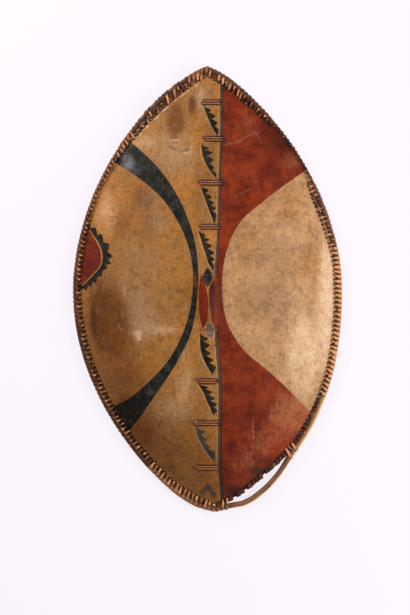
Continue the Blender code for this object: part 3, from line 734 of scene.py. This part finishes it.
# Black teeth round the half lens and down the wedges with their pale lines, the stripe, and the worn patch
lens_out, lens_teeth = toothed("lens_out", "lens_tooth", 0.58, 0.5)
wedge_out, wedge_teeth = toothed("wedge_out", "wedge_tooth", 0.50, 0.62)
height_up = skin.place_along("Y")
low_down = height_up.rise(-0.290, -0.310)
tooth_black = skin.coats(
    skin.mix(blotch.rise(0.35, 0.7), (16, 15, 12), (44, 38, 28)),
    (low_down * (0.45 + blotch * 0.6), (74, 80, 84)),
)
stripe = skin.mark("stripe") + wobble
stripe_wide = 0.0032 + height_up.rise(0.0, -0.15) * 0.0009
stripe_grey = skin.coats(
    (44, 34, 26),
    (abs(stripe + 0.0003).rise(0.0024, 0.0012) * 0.7, (78, 70, 62)),
    # Painted shade darkens the stripe as well
    (dim.rise(0.1, 0.9) * 0.5, (40, 32, 24)),
)
worn = skin.mark("worn_patch") + (mottle - 0.5) * 0.3
colour = skin.coats(
    tan,
    (red_here * (1 - thin * 0.30), ochre),
    (black_here * (1 - thin * 0.25), soot_black),
    ((skin.mark("chevron") + wobble * 2).rise(-0.003, 0.0026) * (0.6 + blotch * 0.4), (72, 74, 80)),
    (lens_out.rise(-0.05, 0.0) * lens_out.rise(0.14, 0.07) * 0.8, (186, 134, 92)),
    (wedge_out.rise(-0.22, -0.14) * wedge_out.rise(0.03, -0.03) * 0.32, (204, 164, 120)),
    ((lens_out.rise(0.07, 0.13) * lens_teeth | wedge_teeth) * (1 - flaked * 0.2), tooth_black),
    ((abs(stripe) - stripe_wide).rise(0.0005, -0.0005) * shows * (0.74 + 0.3 * blotch), stripe_grey),
    (abs(stripe + stripe_wide + 0.0014).rise(0.0014, 0.0006) * shows * 0.36, (200, 158, 112)),
    (abs(stripe).rise(0.0022, 0.0006) * (1 - shows) * 0.36, (160, 84, 52)),
    (worn.rise(-0.35, -0.08) * 0.6, (188, 136, 108)),
    (worn.rise(0.0, 0.15) * 0.9, skin.mix(mottle.rise(0.4, 0.6), (82, 68, 54), (126, 104, 84))),
)

# Soot near the rim, the skin darker towards its cut edge, scratches, creases painted darker as painted shade
# with a painted lit and shaded side, a painted highlight on the lip at the upper left, painted shadow round
# the ties, the stitch holes painted near black as the shade inside them, soft patches of painted shade, and
# drips that are stronger inside that shade
soot = (skin.mark("soot") * (0.3 + blotch * 0.7 + mottle * 0.7)).rise(0.30, 0.90)
hole = ((skin.mark("stitch") + 0.5).part() - 0.5) * LACE_PITCH
shaded_hole = (hole.work("SQRT", hole * hole + holes * holes) + wobble * 0.6).rise(0.0036, 0.0020)
shaded_crease = (skin.mark("crease") * (0.4 + mottle)).rise(0.15, 0.8)
scratched = (skin.mark("scratch") + wobble).rise(0.0024, 0.0008) * grain.rise(0.38, 0.55)
drips = (blotch * 0.5 + streak * 0.5).rise(0.50, 0.64)
texture = patchy * 0.12 + blotch * 0.46 + mottle * 0.30 + grain * 0.08 + brushed * 0.04
colour = skin.coats(
    colour,
    (soot * 0.75, (34, 24, 18)),
    (scratched * 0.16, (226, 190, 156)),
    # The skin darker towards its cut edge, less so under the painted lip highlight
    ((skin.mark("edge") + wobble * 3).rise(0.013, 0.001) * (0.6 - lip_highlight * 0.5), (84, 48, 28), "MULTIPLY"),
    # Creases painted darker, as painted shade, then their painted shaded side and painted lit side
    (shaded_crease * 0.34, (96, 54, 30)),
    (lit_side.rise(-0.05, -0.7) * 0.30, (84, 48, 26)),
    (lit_side.rise(0.05, 0.7) * 0.40, (238, 206, 166)),
    # The painted highlight on the lip
    ((lip_highlight * (blotch * 1.4 + mottle * 0.7 - 0.3)).rise(0.2, 0.85) * 0.6, (232, 196, 152)),
    # Painted shadow round the ties
    ((skin.mark("tie") + wobble).rise(0.0046, 0.0012) * 0.88, (36, 22, 14)),
    # The stitch holes painted near black, as the shade inside them
    (shaded_hole * 0.92, (16, 10, 8)),
    # Painted shade over the skin, and drips that are stronger inside it
    ((dim * (0.6 + patchy * 0.8)) & 0.9, (160, 130, 108), "MULTIPLY"),
    ((drips * (dim * 0.40 + 0.10)) & 0.45, (66, 38, 22)),
    (0.46, texture.rise(0.33, 0.67), "OVERLAY"),
)
painted = red_here | black_here
shine = 0.46 + mottle * 0.22 + painted * 0.06 + scuff * 0.05 - pale * 0.06
bumps = mottle * 0.7 + grain * 0.4 + blotch * 1.2 - shaded_hole * 1.6 - shaded_crease * 0.3
skin.relief(bumps + painted * 0.10 - wrinkle * 0.25, 0.0013, 0.85)
skin_front = skin.finish(colour, shine, 0.18)

raw = Finish("bare inner side of the hide")
smear = raw.unevenness(0.06, 4.0, 11.0)
fibre = raw.unevenness(0.010, 3.0, where=raw.place(stretch=(1.0, 0.25, 1.0)))
pore = raw.unevenness(0.0022, 2.0, 13.0)
raw_tan = raw.coats(
    raw.mix(smear.rise(0.3, 0.7), (150, 108, 66), (184, 146, 102)),
    (fibre.rise(0.5, 0.75) * 0.5, (122, 84, 50)),
    ((pore + smear * 0.5).rise(0.8, 1.05) * 0.4, (86, 56, 34)),
)
raw.relief(fibre * 0.7 + pore * 0.4, 0.0012, 0.7)
skin_back = raw.finish(raw_tan, 0.62 + fibre * 0.2, 0.35)


def to_scene(name, bm, *materials):
    """Makes the finished mesh a smooth object of the scene."""
    mesh = bpy.data.meshes.new(name)
    bm.to_mesh(mesh)
    bm.free()
    mesh.shade_smooth()
    for material in materials:
        mesh.materials.append(material)
    made = bpy.data.objects.new(name, mesh)
    bpy.context.scene.collection.objects.link(made)
    return made


sheet.normal_update()
hide = to_scene("painted_hide", sheet, skin_front, skin_back)
wall = hide.modifiers.new("wall", "SOLIDIFY")
wall.thickness = HIDE_THICKNESS
wall.offset = -1.0
wall.material_offset = 1
wall.material_offset_rim = 1
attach(hide, "root")
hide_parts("hide")

# The hoop: a peeled stick as thick as a finger, bent wet round the edge and scarfed into one ring. It thins
# and slips under the hide at the upper right. At the lower right it has lost its lacing and sprung clear, and
# there the wood is bare, pale and polished by hands.
HOOP_RADIUS = 0.0064
HOOP_CENTRE = 0.0085
HOOP_OUTER = 0.0009
HOOP_DROP = 0.0085
KNOT_EVERY = 0.31
KNOT_AT = 0.15
KNOT_LENGTH = 0.008
KNOT_SWELL = 0.10
HOOP_STATIONS = 420
HOOP_SIDES = 12

# From the lower tip to the upper: how far it stands off its even line in millimetres, its share of the full
# thickness, and how bare its right side is
LEFT_BULGE = (
    (-0.995, 0.0), (-0.97, 3.5), (-0.92, 3.5), (-0.85, 1.2), (-0.7, 0.0), (0.25, 0.0), (0.42, 2.0),
    (0.6, 3.5), (0.72, 4.5), (0.80, 6.0), (0.88, 5.0), (0.94, 3.0), (0.98, 1.2), (1.0, 1.0),
)
RIGHT_BULGE = (
    (-0.995, 0.0), (-0.975, 5.0), (-0.95, 13.0), (-0.92, 15.5), (-0.87, 14.0), (-0.82, 10.0), (-0.78, 5.0),
    (-0.74, 1.5), (-0.66, 1.5), (-0.48, 0.8), (0.15, 0.8), (0.25, 0.0), (0.86, 0.0), (0.95, 1.5), (1.0, 1.0),
)
LEFT_STOUT = ((-1, 1), (0.1, 1), (0.36, 0.8), (0.42, 0.72), (0.58, 0.72), (0.66, 0.9), (0.75, 1), (1, 1))
RIGHT_STOUT = ((-1, 1), (0.42, 1), (0.52, 0.62), (0.74, 0.62), (0.84, 0.95), (0.9, 1), (1, 1))
BARE_WOOD = ((-0.995, 0.0), (-0.96, 0.45), (-0.78, 0.45), (-0.72, 1.0), (-0.50, 1.0), (-0.46, 0.0))


def tube(bm, rings, marks=None):
    """Adds a skin through rings of points. A first or last ring drawn in to a point closes the end."""
    rings = np.asarray(rings)
    stations, sides = rings.shape[:2]
    grid = bmesh.ops.create_grid(bm, x_segments=stations - 1, y_segments=sides, size=1.0)["verts"]
    for vert in grid:
        i = round((vert.co.x + 1) / 2 * (stations - 1))
        j = round((vert.co.y + 1) / 2 * sides)
        vert.co = rings[i, j % sides].tolist()
        for layer, values in (marks or {}).items():
            vert[layer] = float(values[i][j % sides])
    bmesh.ops.remove_doubles(bm, verts=grid, dist=1e-6)


def add_piece(name, bm, material, node):
    """Makes the finished mesh an object that rides on the shield in place of its node or nodes."""
    bmesh.ops.recalc_face_normals(bm, faces=bm.faces)
    piece = to_scene(name, bm, material)
    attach(piece, "root")
    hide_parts(*node)


def hoop_line(angle):
    """The stick's radius, the inset of its middle and its height; it thins where it slips under the hide."""
    stout = read_off(angle, LEFT_STOUT, RIGHT_STOUT)
    radius = HOOP_RADIUS * stout
    inset = HOOP_OUTER + radius - inset_at(angle, LEFT_BULGE, RIGHT_BULGE)
    return radius, inset, HOOP_CENTRE - HOOP_DROP * (1 - stout)


hoop_run = np.linspace(0, LACE_TURNS, HOOP_STATIONS + 1)
hoop_angles = np.interp(hoop_run, lace_run, LACE_ANGLES)
hoop_run *= LACE_PITCH
hoop_radii, hoop_insets, hoop_heights = hoop_line(hoop_angles)
middle = rim(hoop_angles, hoop_insets)
ahead = np.gradient(middle, axis=1)
ahead /= np.hypot(*ahead)
bare_share = np.interp(-np.cos(hoop_angles), *np.array(BARE_WOOD).T) * (hoop_angles > math.pi)
rings = np.zeros((HOOP_STATIONS + 1, HOOP_SIDES, 3))
for i, run in enumerate(hoop_run):
    knot = KNOT_SWELL * bell(run % KNOT_EVERY, KNOT_AT, KNOT_LENGTH)
    out = np.array([ahead[1, i], -ahead[0, i]])
    for j in range(HOOP_SIDES):
        round_by = TURN * j / HOOP_SIDES
        lump = 0.05 * noise.noise(Vector((run * 60, j, 4.0))) + knot * (1 + math.sin(round_by + i))
        radius = hoop_radii[i] * (0.96 + min(0.05, lump) + 0.10 * float(bare_share[i]))
        rings[i, j, :2] = middle[:, i] + out * radius * math.cos(round_by)
        rings[i, j, 2] = hoop_heights[i] + radius * math.sin(round_by)
rings[-1] = rings[0]
hoop_bm = bmesh.new()
hoop_layers = [hoop_bm.verts.layers.float.new(name) for name in ("run", "side", "bare")]
sides_round = np.arange(HOOP_SIDES) / HOOP_SIDES
hoop_marks = np.broadcast_arrays(hoop_run[:, None], sides_round, bare_share[:, None])
tube(hoop_bm, rings, dict(zip(hoop_layers, hoop_marks)))
stick = Finish("peeled stick")
bare = stick.mark("bare")
side = stick.mark("side")
along_stick = stick.node("ShaderNodeCombineXYZ", {}, {0: stick.mark("run") * 0.06, 1: side * 0.05, 2: 0.3})
fibres = stick.unevenness(0.0022, 3.0, where=along_stick)
patch = stick.unevenness(0.03, 3.0, 21.0)
stick_light_side = side + (patch - 0.5) * 0.08
wood = stick.coats(
    stick.mix(patch.rise(0.35, 0.7), (92, 44, 18), (140, 76, 34)),
    (bare * (0.8 + patch * 0.4), (206, 144, 84)),
    # On the bare stretch the stick is painted darker along its inner side, by the hide, as painted shade, and
    # lighter along its outer side, as painted highlight
    (bare.rise(0.0, 0.2) * stick_light_side.rise(0.26, 0.14) * 0.7, (84, 48, 26)),
    (bare.rise(0.0, 0.2) * stick_light_side.rise(0.35, 0.43) * 0.7, (242, 190, 130)),
    (fibres.rise(0.50, 0.68) * 0.55, (58, 30, 15)),
    (abs(side - 0.27 + (patch - 0.5) * 0.1).rise(0.05, 0.02) * 0.6, (44, 26, 17)),
)
stick.relief(fibres, 0.0006, 0.6)
add_piece("stick_hoop", hoop_bm, stick.finish(wood, 0.42 + fibres * 0.25, 0.5), ["rim_hoop"])

# The lacing: a narrow strip of rawhide whipped round hoop and edge in about two hundred and forty turns, each
# coming up through its own hole. Handling has darkened it and rubbed the outer bends lighter, and those bends
# also carry a painted highlight.
LACE_THICKNESS = 0.0015
LACE_SECTION = ((-1.0, 0.30), (-0.55, 1.0), (0.55, 1.0), (1.0, 0.30), (0.0, 0.0))


def lacing_style(angle):
    """How the turns look at one place: half their width, how unruly, how many are left, and how light."""
    t = -math.cos(angle)
    if angle < math.pi:
        styles = (
            (-1.0, 0.0038, 0.75, 1.0, 0.62), (-0.80, 0.0034, 0.5, 1.0, 0.12), (-0.10, 0.0032, 0.5, 1.0, 0.25),
            (0.34, 0.0028, 0.7, 1.0, 0.4), (0.60, 0.0036, 1.3, 1.0, 0.5),
            (0.71, 0.0030, 1.4, 0.72, 0.06), (0.955, 0.0040, 1.2, 1.0, 0.4),
        )
    else:
        styles = (
            (-1.0, 0.0038, 0.9, 1.0, 0.4), (-0.765, 0.0044, 0.9, 1.0, 0.6), (-0.485, 0.0034, 0.6, 1.0, 0.95),
            (0.20, 0.0030, 0.9, 0.9, 0.4), (0.48, 0.0016, 0.5, 0.55, 0.05), (0.77, 0.0030, 1.4, 1.0, 0.05),
            (0.90, 0.0036, 1.4, 1.0, 0.25),
        )
    return [style for style in styles if style[0] <= max(t, -1.0)][-1][1:]


def is_bare(angle):
    """Whether the hoop has lost its lacing there."""
    t = -math.cos(angle)
    return angle > math.pi and (-0.715 < t < -0.485 or -0.985 < t < -0.765)


LUMPS = ((-0.147, 0.397), (-0.196, 0.322), (0.268, 0.198))
lacing = bmesh.new()
tone_layer = lacing.verts.layers.float.new("tone")
rub_highlight_layer = lacing.verts.layers.float.new("worn")
for number in range(LACE_TURNS):
    angle = float(np.interp(number + 0.5, lace_run, LACE_ANGLES))
    half_wide, unruly, left_over, light = lacing_style(angle)
    torn = is_bare(angle)
    chance = number * 0.618 % 1
    if torn and chance > 0.8:
        continue
    torn = torn or chance > left_over
    jitter = [noise.noise(Vector((number * 0.73, seed, 1.7))) for seed in (1.0, 5.0, 9.0, 13.0, 17.0)]
    half_wide *= 1 + 0.55 * jitter[0] * (0.4 + unruly)
    hole_inset = float(inset_at(angle, LEFT_HOLES, RIGHT_HOLES)) + 0.0022 * jitter[1] * unruly
    lift = 0.0003 + 0.0007 * abs(jitter[2]) * unruly
    skew = 0.05 + 0.9 * jitter[3] * unruly
    hole_top = float(front_height(*rim(angle, hole_inset)))
    hole_under = hole_top - HIDE_THICKNESS
    stick_radius, centre_in, stick_height = (float(value) for value in hoop_line(angle))
    bore = stick_radius + 0.0002
    edge_in = float(inset_at(angle, LEFT_EDGE, RIGHT_EDGE))
    covered = edge_in < centre_in
    crest = max(stick_height + bore * 0.86, hole_top) if covered else stick_height + bore * 0.86
    shoulder = hole_top - 0.0012 if covered else stick_height + bore * 0.70
    sleeve = 1.0 if unruly > 0.8 else 1.38
    lump = sum(0.0035 * bell(math.dist(rim(angle, 0.008), spot), 0.0, 0.008) for spot in LUMPS)
    if torn:
        half_wide *= 1.5
        light = 0.0
        out = 0.0016 + 0.0034 * abs(jitter[2])
        stations = (
            (hole_inset + 0.0004, hole_top - 0.0020, 0.0, 0.02),
            (hole_inset - 0.0002, hole_top + 0.0001, 0.1, 0.6),
            (edge_in + 0.0010, hole_top + 0.0004, 0.3, 0.9),
            (edge_in - out, hole_top - 0.0012, 0.45, 1.0),
            (edge_in - out, hole_top - 0.0040, 0.6, 1.0),
            (edge_in + 0.0010, hole_under - 0.0008, 0.75, 0.9),
            (hole_inset - 0.0006, hole_under - 0.0004, 0.9, 0.6),
            (hole_inset + 0.0004, hole_top - 0.0026, 1.0, 0.02),
        )
    else:
        stations = (
            (hole_inset + 0.0004, hole_top - 0.0020, 0.0, 0.02),
            (hole_inset - 0.0002, hole_top + 0.0001, 0.0, 0.48),
            (hole_inset - 0.0026, hole_top + lift + 0.0006, 0.08, 0.62),
            (centre_in + bore * 0.68, crest + lift, 0.22, 0.78),
            (centre_in, max(crest, stick_height + bore) + lift * 0.4 + lump, 0.34, sleeve),
            (centre_in - bore * 0.72 - lump, shoulder + lump, 0.45, sleeve + 0.1),
            (centre_in - bore - lump, stick_height, 0.52, sleeve + 0.1),
            (centre_in - bore * 0.72, stick_height - bore * 0.70, 0.60, sleeve),
            (centre_in, stick_height - bore, 0.70, 1.0),
            (centre_in + bore * 0.84, stick_height - bore + 0.0012, 0.82, 0.9),
            (hole_inset - 0.0006, hole_under - 0.0004, 0.98, 0.6),
            (hole_inset + 0.0004, hole_top - 0.0026, 1.0, 0.02),
        )
    spots = []
    for inset, level, shift, wide in stations:
        run = number + 0.5 + (shift - 0.5) * (0.55 + skew)
        at = float(np.interp(run % LACE_TURNS, lace_run, LACE_ANGLES))
        spots.append((np.array([*rim(at, inset), level]), wide))
    middle_spot = np.mean([spot for spot, _ in spots], axis=0)
    along_rim = way_along(angle)
    rings, tones, wear = [], [], []
    for i, (spot, wide) in enumerate(spots):
        before, after = spots[max(0, i - 1)][0], spots[min(len(spots) - 1, i + 1)][0]
        forward = (after - before) / np.linalg.norm(after - before)
        sideways = np.array([*along_rim, 0.0])
        sideways -= forward * forward.dot(sideways)
        sideways /= np.linalg.norm(sideways)
        outward = np.cross(sideways, forward)
        if outward.dot(spot - middle_spot) < 0:
            outward = -outward
        on_hoop = not torn and i >= 4
        thick = LACE_THICKNESS * (0.75 + 0.5 * abs(jitter[1])) * (0.65 if on_hoop else 1.0)
        if wide < 0.1:
            thick = 0.0
        rings.append([spot + sideways * half_wide * wide * s + outward * thick * u for s, u in LACE_SECTION])
        fleck = noise.noise(Vector((number * 0.9, i * 0.8, 23.0)))
        # The rub mark lightens the strip's outer face over its front and bend: rubbed wear and a painted
        # highlight
        if on_hoop:
            shade = 0.16 + 0.35 * light + 0.2 * jitter[4]
            rub_highlight = 0.25 + 0.6 * light
        else:
            shade = 0.25 + 0.5 * light + 0.9 * fleck
            rub_highlight = 0.45 + 1.2 * fleck + 0.5 * light
        if torn or not 1 <= i <= 7:
            rub_highlight = 0.0
        tones.append([shade - 0.3 * torn] * len(LACE_SECTION))
        wear.append([rub_highlight * (u > 0.9) for _, u in LACE_SECTION])
    tube(lacing, rings, {tone_layer: tones, rub_highlight_layer: wear})
strip = Finish("rawhide strip")
tone = strip.mark("tone")
rub_highlight_mark = strip.mark("worn")
speck = strip.unevenness(0.0035, 3.0, 31.0, roughness=0.65)
dusty = strip.unevenness(0.10, 2.0, 33.0)
brown = strip.coats(
    strip.mix(tone.rise(0.0, 0.9), (66, 32, 15), (184, 112, 60)),
    (speck.rise(0.45, 0.62) * 0.55, (40, 20, 12)),
    # Rubbed wear and painted highlight on the outer bends
    ((rub_highlight_mark * (0.25 + dusty * 0.5 + speck * 0.7)).rise(0.25, 0.85) * 0.75, (236, 170, 120)),
)
strip.relief(speck, 0.0008, 0.8)
strip_finish = strip.finish(brown, 0.45 + speck * 0.3, 0.3)
add_piece("lacing_turns", lacing, strip_finish, ["rim_lacing"])

# The stave: one long stick split and whittled flat behind, running tip to tip under the hide's ridge. At the
# grip it bows back to leave room for the fingers. It is tied to the hide and touches nothing else.
STAVE_WIDTH = 0.018
STAVE_THICKNESS = 0.012
STAVE_END = 0.4695
GRIP_BOW = 0.020
GRIP_STRAIGHT = 0.032
GAP = 0.0004
STAVE_STATIONS = 200


def stave_middle(y):
    """Height of the stave's front face at y."""
    ridge_line = front_height(STAVE_LINE_X, y) - KEEL_RISE * boss_window(y)
    ramp = GRIP_HALF_LENGTH - GRIP_STRAIGHT / 2
    part = np.clip((GRIP_HALF_LENGTH - np.abs(y - GRIP_Y)) / ramp, 0, 1)
    return ridge_line - HIDE_THICKNESS - GAP - GRIP_BOW * (3 - 2 * part) * part ** 2


STAVE_SECTION = [
    (-0.96, -0.22), (-0.72, -0.08), (-0.30, -0.04), (0.0, -0.03), (0.30, -0.04), (0.72, -0.08), (0.96, -0.22),
    (1.0, -0.52), (0.97, -0.82), (0.78, -0.98), (0.30, -1.0), (0.0, -1.0), (-0.30, -1.0), (-0.78, -0.98),
    (-0.97, -0.82), (-1.0, -0.52),
]


def stave_size(y):
    """Half the stave's width and its thickness at y, both less towards its ends."""
    end = min(1.0, max(0.0, abs(y) / STAVE_END - 0.75) / 0.25)
    return STAVE_WIDTH / 2 * (1 - 0.35 * end), STAVE_THICKNESS * (1 - 0.45 * end)


def stave_rings(places, grow=None):
    """Cross-sections of the stave at some places, each grown outwards."""
    rings = []
    for i, y in enumerate(places):
        half, deep = stave_size(y)
        level = float(stave_middle(y))
        slope = math.atan2(float(stave_middle(y + 0.004) - stave_middle(y - 0.004)), 0.008)
        ring = []
        for j, (a, b) in enumerate(STAVE_SECTION):
            whittled = 0.0003 * noise.noise(Vector((y * 55, j * 0.7, 8.0)))
            extra = (0.0 if grow is None else float(grow[i][j])) + whittled
            far = Vector((a * half, (b + 0.5) * deep))
            place = far + Vector((a, (b + 0.5) * 1.6)).normalized() * extra
            up = place.y - deep / 2
            ring.append((STAVE_LINE_X + place.x, y - up * math.sin(slope), level + up * math.cos(slope)))
        rings.append(ring)
    return rings


stave = bmesh.new()
places = np.linspace(-STAVE_END + 0.001, STAVE_END - 0.001, STAVE_STATIONS)
rings = stave_rings(places)
ends = [[np.mean(rings[i], axis=0).tolist()] * len(STAVE_SECTION) for i in (0, -1)]
rings = [ends[0]] + rings + [ends[1]]
tube(stave, rings)
whittled = Finish("whittled stave")
lengthwise = whittled.place(stretch=(1.0, 0.05, 1.0))
fibres = whittled.unevenness(0.0016, 3.0, where=lengthwise)
knife = whittled.unevenness(0.03, 2.0, 41.0, where=whittled.place(stretch=(1.0, 0.3, 1.0)))
wood = whittled.mix(fibres.rise(0.35, 0.7), (128, 88, 54), (166, 124, 82))
wood = whittled.mix(knife.rise(0.5, 0.75) * 0.5, wood, (104, 68, 40))
whittled.relief(fibres * 0.6 + knife, 0.0009, 0.7)
STAVE_NODES = [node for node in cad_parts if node.startswith("stave")]
add_piece("whittled_stave", stave, whittled.finish(wood, 0.55 + fibres * 0.2, 0.4), STAVE_NODES)

# The grip's wrapping: one rawhide strip wound round the bowed part of the stave in eight turns, each lapping
# the last, dark with sweat.
WRAP_LENGTH = 0.0846
WRAP_THICKNESS = 0.0025
WRAP_WINDS = 8
WRAP_STATIONS = 96
wrap_places = GRIP_Y + WRAP_LENGTH * (np.linspace(0, 1, WRAP_STATIONS + 1) - 0.5)
outer, inner_skin = [], []
for i, y in enumerate(wrap_places):
    row = []
    for j in range(len(STAVE_SECTION)):
        wind = (WRAP_WINDS * i / WRAP_STATIONS + j / len(STAVE_SECTION)) % 1.0
        lap = min(1.0, wind * 6) * (1 - 0.45 * wind)
        row.append(GAP + WRAP_THICKNESS * (0.45 + 0.5 * lap))
    outer.append(row)
    inner_skin.append([GAP] * len(STAVE_SECTION))
wrap = bmesh.new()
wrap_rings = stave_rings(wrap_places, outer) + stave_rings(wrap_places, inner_skin)[::-1]
wrap_rings.append(wrap_rings[0])
tube(wrap, wrap_rings)
sweat = Finish("dark grip strip")
speck = sweat.unevenness(0.006, 3.0, 51.0)
brown = sweat.mix(speck.rise(0.35, 0.7), (58, 34, 22), (104, 68, 44))
sweat.relief(speck, 0.0006, 0.6)
add_piece("grip_winding", wrap, sweat.finish(brown, 0.38 + speck * 0.25, 0.5), ["grip_wrap"])

# The ties: nine short hide thongs, each passed twice through a pair of holes and round the stave, pulled
# tight and knotted behind. The two at the grip were painted over with the boss.
TIE_WIDTH = 0.009
TIE_THICKNESS = 0.0028
TIE_SECTION = [
    (-1.0, 0.05), (-0.88, 0.50), (-0.64, 1.0), (-0.42, 0.75), (-0.14, 0.12), (0.14, 0.12), (0.42, 0.75),
    (0.64, 1.0), (0.88, 0.50), (1.0, 0.05), (0.5, 0.0), (-0.5, 0.0),
]
thong = Finish("red-brown thong")
ridge = thong.mark("ridge")
speck = thong.unevenness(0.003, 3.0, 61.0)
soft = thong.coats(
    # Lighter on the tops of its two ridges, as painted highlight, and darker in the groove and along its
    # edges, as painted shade
    thong.mix(ridge.rise(0.30, 0.70), (96, 38, 20), (142, 66, 36)),
    (ridge.rise(0.70, 0.96) * 0.85, (206, 150, 98)),
    (speck.rise(0.48, 0.64) * 0.5, (84, 44, 28)),
    (ridge.rise(0.0, -0.4) * 0.9, (30, 15, 11)),
)
thong.relief(speck, 0.0005, 0.6)
thong_finish = thong.finish(soft, 0.45 + speck * 0.2, 0.5)
blackened = Finish("blackened thong")
speck = blackened.unevenness(0.004, 3.0, 63.0)
across_tie = blackened.place_along("X")
lower_one = blackened.place_along("Y").rise(-0.02, -0.04)
bare_side = abs(across_tie - (0.0005 + lower_one * 0.0045)).rise(0.0078, 0.0100)
dark = blackened.coats(
    blackened.mix(speck.rise(0.4, 0.62), (26, 26, 24), (60, 56, 48)),
    (lower_one, blackened.mix(speck.rise(0.4, 0.62), (82, 68, 54), (126, 104, 84))),
    (bare_side, blackened.mix(across_tie.rise(-0.002, 0.002), (152, 88, 62), (120, 88, 62))),
)
blackened.relief(speck, 0.0005, 0.6)
blackened_finish = blackened.finish(dark, 0.5 + speck * 0.2, 0.45)
TIE_KNOTS = {
    1: ((0.0290, 0.003, 0.0034), (-0.0115, -0.002, 0.0030)),
    2: ((0.0365, 0.001, 0.0046), (0.0345, -0.004, 0.0034), (-0.0075, 0.003, 0.0030)),
    3: ((0.0315, 0.001, 0.0040), (-0.0165, 0.003, 0.0038)),
    4: ((0.0270, 0.002, 0.0040), (-0.0145, 0.002, 0.0034)),
    7: ((0.0215, 0.001, 0.0034), (-0.0205, 0.004, 0.0038)),
    8: ((-0.0265, 0.001, 0.0046), (-0.0235, -0.003, 0.0038), (0.0270, 0.001, 0.0040)),
    9: ((-0.0250, 0.001, 0.0038), (0.0235, 0.002, 0.0030)),
}


def leg(hole_x, top, corner, low, way):
    """A tie's line down through one hole and round the stave's back corner; way is 1 right and -1 left."""
    under = top - HIDE_THICKNESS
    return [
        (hole_x + way * 0.0006, top - HIDE_THICKNESS * 0.5),
        (hole_x + way * 0.0003, under - 0.0008),
        ((hole_x + corner) / 2, (under + low) / 2),
        (corner + way * 0.0004, low + 0.002),
        (corner - way * 0.0012, low - 0.0002),
    ]


for number, (y, left, right) in enumerate(TIES, 1):
    at_grip = number in (5, 6)
    thin = 0.62 if at_grip else 1.0
    half, deep = (size + GAP for size in stave_size(y))
    low = float(stave_middle(y)) - deep
    over = [(x, float(front_height(x, y)) + 0.0002) for x in np.linspace(left, right, 13)]
    behind = leg(right, over[-1][1], STAVE_LINE_X + half, low, 1) + [(STAVE_LINE_X, low - 0.0003)]
    behind += leg(left, over[0][1], STAVE_LINE_X - half, low, -1)[::-1]
    loop = [Vector(spot) for spot in over + behind]
    slope = 0.0
    if not at_grip:
        rise = front_height(STAVE_LINE_X, y + 0.004) - front_height(STAVE_LINE_X, y - 0.004)
        slope = math.atan2(float(rise), 0.008)
    bm = bmesh.new()
    ridge_layer = bm.verts.layers.float.new("ridge")
    rings = []
    for i, spot in enumerate(loop):
        forward = (loop[(i + 1) % len(loop)] - loop[i - 1]).normalized()
        normal = Vector((-forward.y, forward.x))
        twist = 0.0006 * noise.noise(Vector((i * 0.5, number, 3.0)))
        ring = []
        for a, b in TIE_SECTION:
            place = spot + normal * TIE_THICKNESS * thin * b
            breadth = a * TIE_WIDTH / 2 * thin + twist
            ring.append((place.x, y + breadth * math.cos(slope), place.y + breadth * math.sin(slope)))
        rings.append(ring)
    rings.append(rings[0])
    tube(bm, rings, {ridge_layer: [[b for _, b in TIE_SECTION]] * len(rings)})
    for knot_x, knot_y, size in TIE_KNOTS.get(number, ()):
        level = float(front_height(knot_x, y + knot_y)) + size * 0.25
        stretch = Matrix.Diagonal((size, size * 1.25, size * 0.8, 1.0))
        shape = Matrix.Translation((knot_x, y + knot_y, level)) @ stretch
        lump = bmesh.ops.create_icosphere(bm, subdivisions=2, radius=1.0, matrix=shape)["verts"]
        for vert in lump:
            vert.co += Vector((0.25 * size * noise.noise(vert.co * 900), 0.0, 0.0))
            vert[ridge_layer] = (-0.4 if knot_x > 0 else 0.4) + 0.9 * noise.noise(vert.co * 500)
    material = blackened_finish if at_grip else thong_finish
    add_piece(f"tie_{number}", bm, material, [f"thong_{number}"])

# The camera looks straight down on the shield, which lies on a pale floor between two large soft lights of
# nearly equal strength, one at the upper left and one, lower, at the right.
floor_bm = bmesh.new()
bmesh.ops.create_grid(floor_bm, x_segments=1, y_segments=1, size=60.0)
plain = Finish("pale floor")
plain.shader.inputs["Emission Color"].default_value = (*tint(250, 245, 252), 1.0)
plain.shader.inputs["Emission Strength"].default_value = 0.86
floor = to_scene("floor", floor_bm, plain.finish((112, 110, 113), 0.9, 0.0))
floor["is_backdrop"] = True


def soft_light(name, place, aim, size, power, tone):
    """A square soft box aimed at a place."""
    lamp = bpy.data.lights.new(name, "AREA")
    lamp.shape = "SQUARE"
    lamp.size = size
    lamp.energy = power
    lamp.color = tone
    box = bpy.data.objects.new(name, lamp)
    box.location = place
    box.rotation_euler = (Vector(aim) - Vector(place)).to_track_quat("-Z", "Y").to_euler()
    bpy.context.scene.collection.objects.link(box)


soft_light("upper left soft box", (-1.7, 1.9, 1.5), (0.0, 0.0, 0.0), 1.3, 66.0, (1.0, 0.94, 0.86))
soft_light("right soft box", (2.3, -0.5, 1.15), (0.1, 0.0, 0.0), 1.3, 60.0, (1.0, 0.97, 0.95))
world = bpy.data.worlds.new("studio")
world.use_nodes = True
world.node_tree.nodes["Background"].inputs["Color"].default_value = (1.0, 0.97, 0.94, 1.0)
world.node_tree.nodes["Background"].inputs["Strength"].default_value = 0.30
bpy.context.scene.world = world
bpy.context.scene.view_settings.view_transform = "Standard"
camera_data = bpy.data.cameras.new("camera")
camera_data.lens = 85.0
camera_data.sensor_width = 36.0
camera = bpy.data.objects.new("camera", camera_data)
camera.location = (-0.0052, -0.041, 3.270)
bpy.context.scene.collection.objects.link(camera)
bpy.context.scene.camera = camera

bpy.context.view_layer.update()
low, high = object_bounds()
